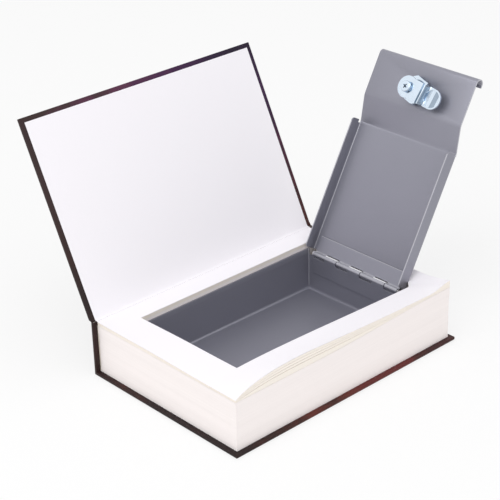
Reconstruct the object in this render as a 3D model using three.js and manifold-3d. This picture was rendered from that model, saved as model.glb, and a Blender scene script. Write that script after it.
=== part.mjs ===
// Book diversion safe: a hardback book whose pages are cut out round a folded steel box.
// The box has an inset steel lid on a pinned hinge, held shut by a small cam lock.
// Millimetres. Origin at the centre of the back cover's underside: X runs along the spine from
// tail to head, the fore edge faces -Y, the spine faces +Y, and +Z is up.
// The model stands as it is shown: cover leaned back, lid open against the pages, cam unlocked.

import * as THREE from 'three';
import { mergeVertices } from 'three/addons/utils/BufferGeometryUtils.js';
import Module from 'manifold-3d';

const wasm = await Module();
wasm.setup();

// Driving dimensions of the hardback case
const BOOK_LENGTH = 240;
const BOOK_WIDTH = 165;
const BOARD = 1.8;
const WRAP = 0.25;
const ENDPAPER = 0.15;
const GLUE_LINE = 0.1;
const SQUARE = 4;
const TURN_IN = 14;
const BACK_JOINT = 2.2;
const COVER_JOINT = 3;
const JOINT_RISE = 1;
const SPINE_DROP = 0.7;
const SPINE_BOARD_DROP = 0.5;
const COVER_OPEN = 116.35;

// Driving dimensions of the pages
const PAGES_HEIGHT = 40.8;
const TAIL_RAIL = 28;
const HEAD_RAIL = 20.2;
const FORE_RAIL = 29.8;
const SPINE_RAIL = 18.7;
const LINING = 0.4;
const LEAF_COUNT = 5;
const LEAF = 0.25;
const LEAF_AIR = 0.2;
const SPINE_SWELL = 0.2;
const SPINE_SWELL_RUN = 74.5;
const LEAF_LIFT = 9.3;
const LIFT_SKEW = 0.52;
const LIFT_ROUNDING = 1.5;
const LIFT_SPREAD = 0.8;
const LIFT_START = 1.3;
const LIFT_DRAW_IN = 89.4;
const CORNER_CURL = 3.9;
const CORNER_CURL_RUN = 23.2;
const HEAD_FULLNESS = 4.4;
const HEAD_FULLNESS_RUN = 145;
const CUT_LIFT_SHARE = 0.34;
const CUT_EASE = 1;
const CUT_SLANT = 3;

// Driving dimensions of the steel box, its lid and their hinge
const STEEL = 1;
const RIM_DROP = 2.6;
const PAD = 0.3;
const PAD_INSET = 6;
const KNUCKLE_RADIUS = 2.1;
const PIN_RADIUS = 0.95;
const PIN_HEAD = 0.6;
const HINGE_LENGTH = 95;
const KNUCKLE_COUNT = 7;
const BOX_LEAF_DROP = 17;
const LID_LEAF_WIDTH = 16.3;
const LID_OPEN = 119.5;
const LID_PROUD = 0.6;
const FLANGE_DEPTH = 12.35;
const FLANGE_CORNER = 3;
const LOCK_PANEL = 40.5;
const JOGGLE_RUN = 21.5;
const JOGGLE_DROP = 7.4;
const CURL_RETURN = 2.5;
const REST_TAB_WIDTH = 12;
const REST_TAB_DEPTH = 5;
const REST_TAB_SPREAD = 36;

// Driving dimensions of the cam lock; depths are measured inwards from the lock panel's inner face
const LOCK_FROM_END = 24.5;
const BARREL_RADIUS = 7.9;
const BARREL_FLATS = 13.8;
const BARREL_END = 12;
const EDGE_BREAK = 0.5;
const HEAD_RADIUS = 9.5;
const HEAD_HEIGHT = 2.3;
const HEAD_ROUNDING = 0.8;
const FACE_RIM = 1.4;
const FACE_RECESS = 1.5;
const FACE_HEIGHT = 1;
const POST_WIDTH = 1.6;
const POST_CLEAR_TURN = 24;
const NUT_ACROSS = 22;
const NUT_HEIGHT = 4;
const NUT_CHAMFER = 0.8;
const TOOTH_WASHER = 0.8;
const TOOTH_DEPTH = 1;
const TOOTH_COUNT = 12;
const PLUG_RADIUS = 5.5;
const TANG = 7;
const STOP_RIM = 1.1;
const STOP_TAB = 2.8;
const STOP_WASHER = 0.8;
const CAM_THICK = 1.6;
const CAM_HUB_RADIUS = 9.3;
const CAM_WIDTH = 17;
const CAM_BEND = 14.6;
const CAM_CRANK_RUN = 1.4;
const CAM_CRANK_DROP = 7;
const CAM_REACH = 30.9;
const CAM_REST_TURN = 8;
const CAM_TRAVEL = 90;
const SCREW_RADIUS = 1.6;
const SCREW_HEAD_RADIUS = 4.6;
const SCREW_HEAD_HEIGHT = 1.8;
const SCREW_HEAD_ROUNDING = 0.7;
const RECESS_LENGTH = 4.8;
const RECESS_WIDTH = 0.9;
const RECESS_DEPTH = 1.3;
const SPRING_WASHER = 0.6;
const SPRING_WASHER_SPLIT = 0.6;
const WAFER_COUNT = 5;
const WAFER = 0.9;
const WAFER_PITCH = 2.1;
const FIRST_WAFER = 0.6;
const WAFER_LEFT = 3.1;
const WAFER_RIGHT = 1.3;
const WAFER_ROOM = 1;
const WAFER_WINDOW_WIDTH = 2.6;
const WAFER_WINDOW_HALF = 2.4;
const WAFER_CUT_STEP = 0.25;
const KEYWAY_WIDTH = 2.2;
const KEYWAY_HALF = 3.8;
const LUG_BOTTOM = 2.6;
const LUG_HEIGHT = 1;
const SPRING_SEAT = 3.6;
const SPRING_WIRE = 0.14;
const SPRING_RADIUS = 0.42;
const SPRING_CURLS = 5;

// Clearances
const FIT = 0.3;
const PAGE_CLEAR = 0.4;
const LID_SIDE_CLEAR = 0.6;
const LID_END_CLEAR = 0.8;
const LID_STOP_GAP = 0.35;
const CAM_SLOT_CLEAR = 0.6;
const SMALL_FIT = 0.2;
const WAFER_FIT = 0.1;
const CUT_PAST = 1;

// Places worked out from the sizes above: the case
const rad = THREE.MathUtils.degToRad;
const halfLength = BOOK_LENGTH / 2;
const foreY = -BOOK_WIDTH / 2;
const spineY = BOOK_WIDTH / 2;
const boardBottom = WRAP + GLUE_LINE;
const turnInBottom = boardBottom + BOARD + GLUE_LINE;
const pastedownBottom = turnInBottom + WRAP + GLUE_LINE;
const coverStack = pastedownBottom + ENDPAPER;
const spineBoardOuter = spineY - boardBottom;
const spineBoardInner = spineBoardOuter - BOARD;

// Places of the pages and of the cut-out
const pagesBottom = coverStack + GLUE_LINE;
const pagesTop = pagesBottom + PAGES_HEIGHT;
const pagesHalf = halfLength - SQUARE;
const pagesFore = foreY + SQUARE;
const liningInner = spineBoardInner - WRAP - 2 * GLUE_LINE - LINING;
const pagesSpine = liningInner - LEAF_AIR;
const leafPitch = LEAF + LEAF_AIR;
const stackTop = pagesTop + LEAF_COUNT * (leafPitch + SPINE_SWELL);
const coverHingeY = spineY - GLUE_LINE;
const coverHingeZ = stackTop + JOINT_RISE;
const spineTop = coverHingeZ - SPINE_DROP;
const spineBoardTop = stackTop - SPINE_BOARD_DROP;
const coverReach = coverHingeY - foreY;
const holeTail = -pagesHalf + TAIL_RAIL;
const holeFore = pagesFore + FORE_RAIL;
const holeSpine = pagesSpine - SPINE_RAIL;

// Places of the box, the hinge and the lid
const boxTail = holeTail + PAGE_CLEAR;
const boxHead = pagesHalf - HEAD_RAIL;
const boxFore = holeFore + PAGE_CLEAR;
const boxSpine = holeSpine - PAGE_CLEAR;
const boxBottom = pagesBottom + PAD + GLUE_LINE;
const rim = pagesTop - RIM_DROP;
const innerTail = boxTail + STEEL;
const innerHead = boxHead - STEEL;
const innerFore = boxFore + STEEL;
const innerSpine = boxSpine - STEEL;
const boxMidY = (boxFore + boxSpine) / 2;
const lidOuter = KNUCKLE_RADIUS + FIT + STEEL;
const lidHingeX = innerHead - FIT - STEEL + KNUCKLE_RADIUS;
const lidHingeZ = rim + LID_PROUD - lidOuter;
const lidFore = innerFore + LID_SIDE_CLEAR;
const lidSpine = innerSpine - LID_SIDE_CLEAR;
const lidLength = lidHingeX - innerTail - LID_END_CLEAR;
const lidStart = KNUCKLE_RADIUS + STEEL + 2 * FIT;
const joggleEnd = lidLength - LOCK_PANEL;
const joggleStart = joggleEnd - JOGGLE_RUN;
const knuckle = HINGE_LENGTH / KNUCKLE_COUNT;
const lockPanelInner = lidOuter - STEEL - JOGGLE_DROP;
const restTabTop = lidHingeZ + lockPanelInner - FIT;

// The open lid leans past upright and rests on the edge of the top leaf, which sets the cut-out's head end
const lean = rad(LID_OPEN - 90);
const leanReach = (stackTop - lidHingeZ + lidOuter * Math.sin(lean)) / Math.cos(lean);
const lidBackAtTop = lidHingeX + leanReach * Math.sin(lean) + lidOuter * Math.cos(lean);
const holeHead = lidBackAtTop + LID_STOP_GAP;

// Depths of the lock's pieces, inwards from the lock panel's inner face
const headOuter = -STEEL - FIT - HEAD_HEIGHT;
const washerDepth = FIT;
const nutDepth = washerDepth + TOOTH_WASHER + FIT;
const plugEnd = BARREL_END + EDGE_BREAK + SMALL_FIT;
const stopWasherDepth = plugEnd + FIT;
const stopPostEnd = stopWasherDepth + STOP_WASHER + GLUE_LINE;
const camDepth = stopPostEnd + FIT;
const tangEnd = camDepth + CAM_THICK + GLUE_LINE;
const springWasherDepth = camDepth + CAM_THICK + FIT;
const screwHeadDepth = springWasherDepth + SPRING_WASHER + SMALL_FIT;
const camTipDepth = camDepth - CAM_CRANK_DROP;
const lockX = -(lidLength - LOCK_FROM_END);

// The cam's sweep through the tail wall, in the closed lid's place
const camSweepX = lidHingeX + lockX;
const wallToLock = camSweepX - innerTail;
const sweepHalf = Math.sqrt(CAM_REACH ** 2 - wallToLock ** 2);
const slotBottom = lidHingeZ + lockPanelInner - camTipDepth - CAM_THICK - CAM_SLOT_CLEAR;
const slotTop = lidHingeZ + lockPanelInner - camTipDepth + CAM_SLOT_CLEAR;
const slotFore = boxMidY - sweepHalf - CAM_SLOT_CLEAR;
const slotSpine = boxMidY + CAM_WIDTH / 2 + 2 * CAM_SLOT_CLEAR;
const notchTail = camSweepX - CAM_REACH - CAM_SLOT_CLEAR;

// Finishes
function finish(color, roughness, metalness) {
  return new THREE.MeshStandardMaterial({ color, roughness, metalness });
}

const greyboard = finish(0x9a9288, 0.95, 0);
const printedWrap = finish(0x46333a, 0.45, 0);
const whitePaper = finish(0xf3f1f5, 0.9, 0);
const creamPaper = finish(0xf4ecdf, 0.92, 0);
const kraft = finish(0xe9e2d4, 0.9, 0);
const adhesive = finish(0xd8d8d0, 0.8, 0);
const greyPaint = finish(0x5a5a63, 0.55, 0.2);
const lidPaint = finish(0x93929c, 0.5, 0.2);
const zinc = finish(0xcfdcea, 0.25, 1);
const steelWire = finish(0xd0d2d6, 0.3, 1);
const brass = finish(0xc9a552, 0.35, 1);

// Solid helpers
function cleaned(geometry) {
  geometry.deleteAttribute('normal');
  geometry.deleteAttribute('uv');
  return mergeVertices(geometry, 1e-4);
}

function solid(geometry) {
  const merged = cleaned(geometry);
  const vertProperties = new Float32Array(merged.attributes.position.array);
  const triVerts = new Uint32Array(merged.index.array);
  return new wasm.Manifold(new wasm.Mesh({ numProp: 3, vertProperties, triVerts }));
}

function geometryOf(body) {
  const mesh = body.getMesh();
  const geometry = new THREE.BufferGeometry();
  geometry.setAttribute('position', new THREE.BufferAttribute(new Float32Array(mesh.vertProperties), 3));
  geometry.setIndex(new THREE.BufferAttribute(new Uint32Array(mesh.triVerts), 1));
  return geometry;
}

function block(x, y, z) {
  const geometry = new THREE.BoxGeometry(x[1] - x[0], y[1] - y[0], z[1] - z[0]);
  geometry.translate((x[0] + x[1]) / 2, (y[0] + y[1]) / 2, (z[0] + z[1]) / 2);
  return solid(geometry);
}

// A round bar along Z between two heights
function bar(radius, z0, z1, sides = 32) {
  const geometry = new THREE.CylinderGeometry(radius, radius, z1 - z0, sides);
  geometry.rotateX(Math.PI / 2);
  geometry.translate(0, 0, (z0 + z1) / 2);
  return solid(geometry);
}

// A round bar along Y between two places, turned about the line at x, z
function crossBar(radius, y0, y1, x, z, sides = 20) {
  const geometry = new THREE.CylinderGeometry(radius, radius, y1 - y0, sides);
  geometry.translate(x, (y0 + y1) / 2, z);
  return solid(geometry);
}

// A turned piece about Z from radius and height pairs that go once round its section
function turned(pairs, sides = 40) {
  const profile = pairs.map(([radius, height]) => new THREE.Vector2(radius, height));
  profile.push(profile[0].clone());
  const geometry = new THREE.LatheGeometry(profile, sides);
  geometry.rotateX(Math.PI / 2);
  return solid(geometry);
}

// An outline in X and Y raised from z0 to z1
function raised(shape, z0, z1, curveSegments = 12) {
  const geometry = new THREE.ExtrudeGeometry(shape, { depth: z1 - z0, bevelEnabled: false, curveSegments });
  geometry.translate(0, 0, z0);
  return solid(geometry);
}

// An outline in X and Z drawn out along Y from y0 to y1
function drawnAlongY(shape, y0, y1, curveSegments = 8) {
  const geometry = new THREE.ExtrudeGeometry(shape, { depth: y1 - y0, bevelEnabled: false, curveSegments });
  geometry.rotateX(Math.PI / 2);
  geometry.translate(0, y1, 0);
  return solid(geometry);
}

// Sheet metal bent along a line of X and Z points, half the sheet's thickness to each side
function bentStrip(points, thickness, y0, y1) {
  const line = points.map(([x, z]) => new THREE.Vector2(x, z));
  const left = [];
  const right = [];
  line.forEach((point, i) => {
    const before = line[Math.max(i - 1, 0)];
    const after = line[Math.min(i + 1, line.length - 1)];
    const into = point.clone().sub(before).normalize();
    const out = after.clone().sub(point).normalize();
    const along = into.add(out).normalize();
    const first = i === 0 ? out : point.clone().sub(before).normalize();
    const spread = thickness / 2 / Math.max(along.dot(first), 0.5);
    const side = new THREE.Vector2(-along.y, along.x).multiplyScalar(spread);
    left.push(point.clone().add(side));
    right.unshift(point.clone().sub(side));
  });
  return drawnAlongY(new THREE.Shape([...left, ...right]), y0, y1);
}

function place(parent, name, body, material) {
  const mesh = new THREE.Mesh(geometryOf(body), material);
  mesh.name = name;
  parent.add(mesh);
  return mesh;
}

// The case that stays put: the back board, the spine board and the printed wrap that runs round both
function addBackAndSpine(parent) {
  const alongBoard = [-halfLength + boardBottom, halfLength - boardBottom];
  const backBoard = block(alongBoard, [foreY + boardBottom, spineBoardInner - BACK_JOINT],
    [boardBottom, boardBottom + BOARD]);
  place(parent, 'back_board', backBoard, greyboard);
  const spineBoard = block(alongBoard, [spineBoardInner, spineBoardOuter], [boardBottom, spineBoardTop]);
  place(parent, 'spine_board', spineBoard, greyboard);
  place(parent, 'case_wrap', caseWrap(), printedWrap);
  const pastedown = block([-pagesHalf, pagesHalf], [pagesFore, spineBoardInner - WRAP - 2 * GLUE_LINE],
    [pastedownBottom, pastedownBottom + ENDPAPER]);
  place(parent, 'back_endpaper', pastedown, whitePaper);
}

function caseWrap() {
  const depth = turnInBottom + WRAP;
  const liner = spineBoardInner - GLUE_LINE;
  const alongWhole = [-halfLength, halfLength];
  const alongHollow = [-halfLength + WRAP, halfLength - WRAP];
  const alongWindow = [-halfLength + TURN_IN, halfLength - TURN_IN];
  const back = block(alongWhole, [foreY, spineY], [0, depth]);
  const spine = block(alongWhole, [liner - WRAP, spineY], [0, spineTop]);
  const backHollow = block(alongHollow, [foreY + WRAP, spineY - WRAP], [WRAP, turnInBottom]);
  const spineHollow = block(alongHollow, [liner, spineY - WRAP], [WRAP, spineTop + CUT_PAST]);
  const backWindow = block(alongWindow, [foreY + TURN_IN, spineY - WRAP],
    [turnInBottom - GLUE_LINE, depth + CUT_PAST]);
  const spineWindow = block(alongWindow, [liner - CUT_PAST, liner + GLUE_LINE],
    [turnInBottom, spineTop + CUT_PAST]);
  const linerTop = block(alongWhole, [liner - CUT_PAST, spineY - WRAP], [spineBoardTop, spineTop + CUT_PAST]);
  return back.add(spine).subtract(backHollow).subtract(spineHollow).subtract(backWindow)
    .subtract(spineWindow).subtract(linerTop);
}

// The page block: one stack cut out round the box, with a pocket behind the wall where the cam swings through
function addPages(parent) {
  const stack = cutOutPaper([], () => pagesBottom, (x, y) => pagesTop + fullness(x, y), () => 0);
  const camPocket = block([notchTail, holeTail + CUT_PAST],
    [slotFore - CAM_SLOT_CLEAR, slotSpine + CAM_SLOT_CLEAR],
    [slotBottom - CAM_SLOT_CLEAR, slotTop + CAM_SLOT_CLEAR]);
  place(parent, 'text_block', stack.subtract(camPocket), creamPaper);

  const lining = block([-pagesHalf, pagesHalf], [liningInner, liningInner + LINING], [pagesBottom, pagesTop]);
  place(parent, 'spine_lining', lining, kraft);

  for (let i = 0; i < LEAF_COUNT; i += 1) {
    const top = i === LEAF_COUNT - 1;
    const name = top ? 'front_flyleaf' : `loose_leaf_${i + 1}`;
    place(parent, name, looseLeaf(i, top), top ? whitePaper : creamPaper);
  }
}

// How far out a point lies on the fore-edge rail, from 0 at the cut-out to 1 at the pages' edge
function acrossForeRail(y) {
  return THREE.MathUtils.clamp((holeFore - y) / FORE_RAIL, 0, 1);
}

// How much fuller the pages' edges stand towards the corner of their head and fore edge
function fullness(x, y) {
  const acrossHeadRail = THREE.MathUtils.clamp((x - holeHead) / (pagesHalf - holeHead), 0, 1);
  const towardsHead = THREE.MathUtils.smoothstep(x, pagesHalf - HEAD_FULLNESS_RUN, pagesHalf);
  const towardsFore = 1 - THREE.MathUtils.smoothstep(y, holeFore, pagesSpine);
  return HEAD_FULLNESS * towardsHead * towardsFore * Math.max(acrossForeRail(y), acrossHeadRail);
}

// How far out a point lies on the way over the cut-out, from 0 at its spine edge to 1 at its fore edge
function acrossCutOut(y) {
  return THREE.MathUtils.clamp((holeSpine - y) / (holeSpine - holeFore), 0, 1);
}

// How far a point of the pages is moved outwards, because the cut-out's fore edge is cut wide of the box
// and a little aslant: all of it at that edge, none at the pages' edges
function easedOut(x, y) {
  const along = THREE.MathUtils.clamp((x - holeTail) / (holeHead - holeTail), 0, 1);
  return (CUT_EASE + CUT_SLANT * along) * acrossCutOut(y) * (1 - acrossForeRail(y));
}

// How far a point of the leaves is raised: least on the lowest leaf, most on the top one. The belly
// along the fore edge reaches the cut-out in part, and the curl is only at the outer corner.
function leafRise(level, x, y) {
  const share = (level + 1) / LEAF_COUNT;
  const along = (x + pagesHalf) / (2 * pagesHalf);
  const belly = Math.sin(Math.PI * along ** LIFT_SKEW) ** LIFT_ROUNDING * LEAF_LIFT;
  const curl = THREE.MathUtils.smoothstep(x, pagesHalf - CORNER_CURL_RUN, pagesHalf) * CORNER_CURL;
  const outwards = acrossForeRail(y) ** LIFT_START;
  const reach = CUT_LIFT_SHARE * acrossCutOut(y) + (1 - CUT_LIFT_SHARE) * outwards;
  const towardsSpine = THREE.MathUtils.smoothstep(y, holeFore, holeFore + SPINE_SWELL_RUN);
  return (belly * reach + curl * outwards) * share ** LIFT_SPREAD + towardsSpine * SPINE_SWELL * (level + 1);
}

// Steps from one place to another, both ends included
function steps(from, to, count) {
  return Array.from({ length: count + 1 }, (_, i) => from + ((to - from) * i) / count);
}

// One loose leaf. The top one is the free half of the front endpaper, so it runs on over the spine
// board to the joint.
function looseLeaf(level, reachesJoint) {
  const flat = (x, y) => pagesTop + LEAF_AIR + level * leafPitch + fullness(x, Math.min(y, pagesSpine));
  const lower = (x, y) => {
    const overSpine = Math.max(y - pagesSpine, 0) / (coverHingeY - FIT - pagesSpine);
    const last = flat(x, y) + leafRise(level, x, Math.min(y, pagesSpine));
    return last + overSpine * (coverHingeZ - LEAF - FIT - last);
  };
  const drawnIn = (x, y) => (y < holeFore ? Math.max(lower(x, y) - flat(x, y), 0) ** 2 / LIFT_DRAW_IN : 0);
  return cutOutPaper(reachesJoint ? [spineBoardInner, coverHingeY - FIT] : [], lower,
    (x, y) => lower(x, y) + LEAF, drawnIn);
}

// Paper with the cut-out through it: a closed solid between two surfaces, on a grid of rows and columns
function cutOutPaper(furtherRows, lower, upper, drawnIn) {
  const columns = [...steps(-pagesHalf, holeTail, 3), ...steps(holeTail, holeHead, 16).slice(1),
    ...steps(holeHead, pagesHalf, 2).slice(1)];
  const rows = [...steps(pagesFore, holeFore, 4), ...steps(holeFore, holeSpine, 5).slice(1),
    ...steps(holeSpine, pagesSpine, 1).slice(1), ...furtherRows];
  const open = (i, j) => {
    const x = (columns[i] + columns[i + 1]) / 2;
    const y = (rows[j] + rows[j + 1]) / 2;
    return x > holeTail && x < holeHead && y > holeFore && y < holeSpine;
  };
  const filled = (i, j) => i >= 0 && j >= 0 && i < columns.length - 1 && j < rows.length - 1 && !open(i, j);
  const count = columns.length * rows.length;
  const index = (i, j, upper) => j * columns.length + i + (upper ? count : 0);
  const positions = [];
  for (const surface of [lower, upper]) {
    for (const y of rows) {
      for (const x of columns) positions.push(x, y - easedOut(x, y) + drawnIn(x, y), surface(x, y));
    }
  }
  const triangles = [];
  const quad = (a, b, c, d) => triangles.push(a, b, c, a, c, d);
  const wall = (i0, j0, i1, j1) => {
    quad(index(i0, j0, false), index(i1, j1, false), index(i1, j1, true), index(i0, j0, true));
  };
  for (let j = 0; j < rows.length - 1; j += 1) {
    for (let i = 0; i < columns.length - 1; i += 1) {
      if (!filled(i, j)) continue;
      quad(index(i, j, true), index(i + 1, j, true), index(i + 1, j + 1, true), index(i, j + 1, true));
      quad(index(i, j, false), index(i, j + 1, false), index(i + 1, j + 1, false), index(i + 1, j, false));
      if (!filled(i, j - 1)) wall(i, j, i + 1, j);
      if (!filled(i + 1, j)) wall(i + 1, j, i + 1, j + 1);
      if (!filled(i, j + 1)) wall(i + 1, j + 1, i, j + 1);
      if (!filled(i - 1, j)) wall(i, j + 1, i, j);
    }
  }
  const geometry = new THREE.BufferGeometry();
  geometry.setAttribute('position', new THREE.Float32BufferAttribute(positions, 3));
  geometry.setIndex(triangles);
  return solid(geometry.toNonIndexed());
}

// The folded steel box, on a thin adhesive pad, with the box half of the hinge on its head wall
function addBox(parent) {
  const pad = block([boxTail + PAD_INSET, boxHead - PAD_INSET], [boxFore + PAD_INSET, boxSpine - PAD_INSET],
    [pagesBottom, pagesBottom + PAD]);
  place(parent, 'box_adhesive_pad', pad, adhesive);
  place(parent, 'steel_box', steelBox(), greyPaint);
  place(parent, 'box_hinge_leaf', boxHingeLeaf(), greyPaint);
  const pin = crossBar(PIN_RADIUS, boxMidY - HINGE_LENGTH / 2 - FIT, boxMidY + HINGE_LENGTH / 2 + FIT,
    lidHingeX, lidHingeZ, 16);
  const headRadius = (KNUCKLE_RADIUS + PIN_RADIUS) / 2;
  const heads = [-1, 1].map((end) => {
    const near = boxMidY + end * (HINGE_LENGTH / 2 + SMALL_FIT);
    const far = near + end * PIN_HEAD;
    return crossBar(headRadius, Math.min(near, far), Math.max(near, far), lidHingeX, lidHingeZ, 16);
  });
  place(parent, 'hinge_pin', pin.add(heads[0]).add(heads[1]), steelWire);
}

function steelBox() {
  const shell = block([boxTail, boxHead], [boxFore, boxSpine], [boxBottom, rim]);
  const inside = block([innerTail, innerHead], [innerFore, innerSpine], [boxBottom + STEEL, rim + CUT_PAST]);
  const headWallTop = lidHingeZ - KNUCKLE_RADIUS - FIT;
  const lowHeadWall = block([innerHead - CUT_PAST, boxHead + CUT_PAST], [innerFore, innerSpine],
    [headWallTop, rim + CUT_PAST]);
  const throughTail = [boxTail - CUT_PAST, innerTail + CUT_PAST];
  const camSlot = block(throughTail, [slotFore, slotSpine], [slotBottom, slotTop]);
  let box = shell.subtract(inside).subtract(lowHeadWall).subtract(camSlot);
  for (const side of [-1, 1]) {
    const middle = boxMidY + side * REST_TAB_SPREAD;
    const across = [middle - REST_TAB_WIDTH / 2, middle + REST_TAB_WIDTH / 2];
    const lance = block(throughTail, across, [restTabTop, restTabTop + REST_TAB_DEPTH]);
    const tab = block([boxTail + STEEL / 2, innerTail + REST_TAB_DEPTH], across,
      [restTabTop - STEEL, restTabTop]);
    box = box.subtract(lance).add(tab);
  }
  return box;
}

// Knuckles alternate along the pin: the lid's are the odd ones, so it has one more than the box
function knuckleSpan(i) {
  const start = boxMidY - HINGE_LENGTH / 2 + i * knuckle;
  return [start + FIT / 2, start + knuckle - FIT / 2];
}

function knuckles(first, x, z) {
  let rolls = null;
  for (let i = first; i < KNUCKLE_COUNT; i += 2) {
    const [y0, y1] = knuckleSpan(i);
    const roll = crossBar(KNUCKLE_RADIUS, y0, y1, x, z);
    rolls = rolls ? rolls.add(roll) : roll;
  }
  return rolls;
}

function pinBore(x, z) {
  return crossBar(PIN_RADIUS + SMALL_FIT, boxMidY - HINGE_LENGTH, boxMidY + HINGE_LENGTH, x, z, 16);
}

function boxHingeLeaf() {
  const plateX = [lidHingeX - KNUCKLE_RADIUS, lidHingeX - KNUCKLE_RADIUS + STEEL];
  const ends = [boxMidY - HINGE_LENGTH / 2 + FIT, boxMidY + HINGE_LENGTH / 2 - FIT];
  let leaf = block(plateX, ends, [lidHingeZ - BOX_LEAF_DROP, lidHingeZ]);
  for (let i = 0; i < KNUCKLE_COUNT; i += 2) {
    const [y0, y1] = knuckleSpan(i);
    leaf = leaf.subtract(block([plateX[0] - CUT_PAST, plateX[1] + CUT_PAST], [y0 - FIT, y1 + FIT],
      [lidHingeZ - KNUCKLE_RADIUS - 2 * FIT, lidHingeZ + CUT_PAST]));
  }
  return leaf.add(knuckles(1, lidHingeX, lidHingeZ)).subtract(pinBore(lidHingeX, lidHingeZ));
}

// The lid, drawn shut: it runs from the hinge line (0, 0) towards -X with its inside facing down
function addLid(parent) {
  const lid = new THREE.Group();
  lid.position.set(lidHingeX, 0, lidHingeZ);
  lid.rotation.y = rad(LID_OPEN);
  parent.add(lid);
  place(lid, 'lid_panel', lidPanel(), lidPaint);
  place(lid, 'lid_hinge_leaf', lidHingeLeaf(), lidPaint);
  addLock(lid);
}

function lidPanel() {
  const high = lidOuter - STEEL / 2;
  const low = high - JOGGLE_DROP;
  const curlRadius = JOGGLE_DROP / 2;
  const curlX = -lidLength + STEEL / 2 + curlRadius;
  const curl = steps(-90, -270, 8).map((angle) => [
    curlX + curlRadius * Math.cos(rad(angle)), low + curlRadius + curlRadius * Math.sin(rad(angle))]);
  const flat = [[-lidStart, high], [-joggleStart, high]];
  const line = [...flat, [-joggleEnd, low], ...curl, [curlX + CURL_RETURN, high]];
  let panel = bentStrip(line, STEEL, lidFore, lidSpine);
  for (const y of [lidFore, lidSpine - STEEL]) {
    panel = panel.add(drawnAlongY(flangeOutline(), y, y + STEEL));
  }
  const hole = flattedBar(BARREL_RADIUS + FIT, BARREL_FLATS + 2 * FIT,
    lockPanelInner - 2 * STEEL, lockPanelInner + 3 * STEEL);
  return panel.subtract(hole.translate([lockX, boxMidY, 0]));
}

// A side flange of the lid, with its two free corners rounded
function flangeOutline() {
  const flange = new THREE.Shape();
  const radius = FLANGE_CORNER;
  const centreHeight = lidOuter - FLANGE_DEPTH + radius;
  flange.moveTo(-lidStart, lidOuter);
  flange.lineTo(-joggleStart, lidOuter);
  flange.absarc(-joggleStart + radius, centreHeight, radius, Math.PI, 1.5 * Math.PI);
  flange.absarc(-lidStart - radius, centreHeight, radius, 1.5 * Math.PI, 2 * Math.PI);
  return flange;
}

// A round bar along Z with two flats facing along Y
function flattedBar(radius, flats, z0, z1) {
  const between = block([-2 * radius, 2 * radius], [-flats / 2, flats / 2], [z0, z1]);
  return bar(radius, z0, z1, 40).intersect(between);
}

function lidHingeLeaf() {
  const plate = [lidOuter - STEEL - FIT - STEEL, lidOuter - STEEL - FIT];
  const ends = [boxMidY - HINGE_LENGTH / 2 + FIT, boxMidY + HINGE_LENGTH / 2 - FIT];
  let leaf = block([-LID_LEAF_WIDTH, 0], ends, plate);
  for (let i = 1; i < KNUCKLE_COUNT; i += 2) {
    const [y0, y1] = knuckleSpan(i);
    leaf = leaf.subtract(block([-lidStart, CUT_PAST], [y0 - FIT, y1 + FIT],
      [plate[0] - CUT_PAST, plate[1] + CUT_PAST]));
  }
  return leaf.add(knuckles(0, 0, 0)).subtract(pinBore(0, 0));
}

// The cam lock. Its own Z runs outwards through the lock panel, so a depth inwards is a negative height.
function addLock(lid) {
  const lock = new THREE.Group();
  lock.position.set(lockX, boxMidY, lockPanelInner);
  lid.add(lock);
  place(lock, 'lock_body', lockBody(), zinc);
  place(lock, 'lock_tooth_washer', toothWasher(), zinc);
  place(lock, 'lock_nut', lockNut(), zinc);

  const rotor = new THREE.Group();
  rotor.rotation.z = rad(CAM_REST_TURN);
  lock.add(rotor);
  place(rotor, 'lock_plug', lockPlug(), brass);
  place(rotor, 'stop_washer', stopWasher(), zinc);
  place(rotor, 'cam', cam(), zinc);
  place(rotor, 'cam_spring_washer', springWasher(), zinc);
  place(rotor, 'cam_screw', camScrew(), zinc);
  for (let i = 0; i < WAFER_COUNT; i += 1) {
    place(rotor, `wafer_${i + 1}`, wafer(i), brass);
    place(rotor, `wafer_spring_${i + 1}`, waferSpring(i), steelWire);
  }
}

// Sizes inside the plug: the wafers sit in slots across it, their springs beside them
const waferRound = PLUG_RADIUS - WAFER_FIT;
const keywayX = (WAFER_RIGHT - WAFER_LEFT) / 2;
const springX = WAFER_RIGHT + SMALL_FIT + SPRING_RADIUS + SPRING_WIRE;
const springSide = springX + SPRING_RADIUS + SPRING_WIRE;
const slotWidth = WAFER + 2 * SMALL_FIT;
const faceCounterbore = PLUG_RADIUS + FACE_RIM;

function waferDepth(i) {
  return FIRST_WAFER + i * WAFER_PITCH;
}

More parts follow.
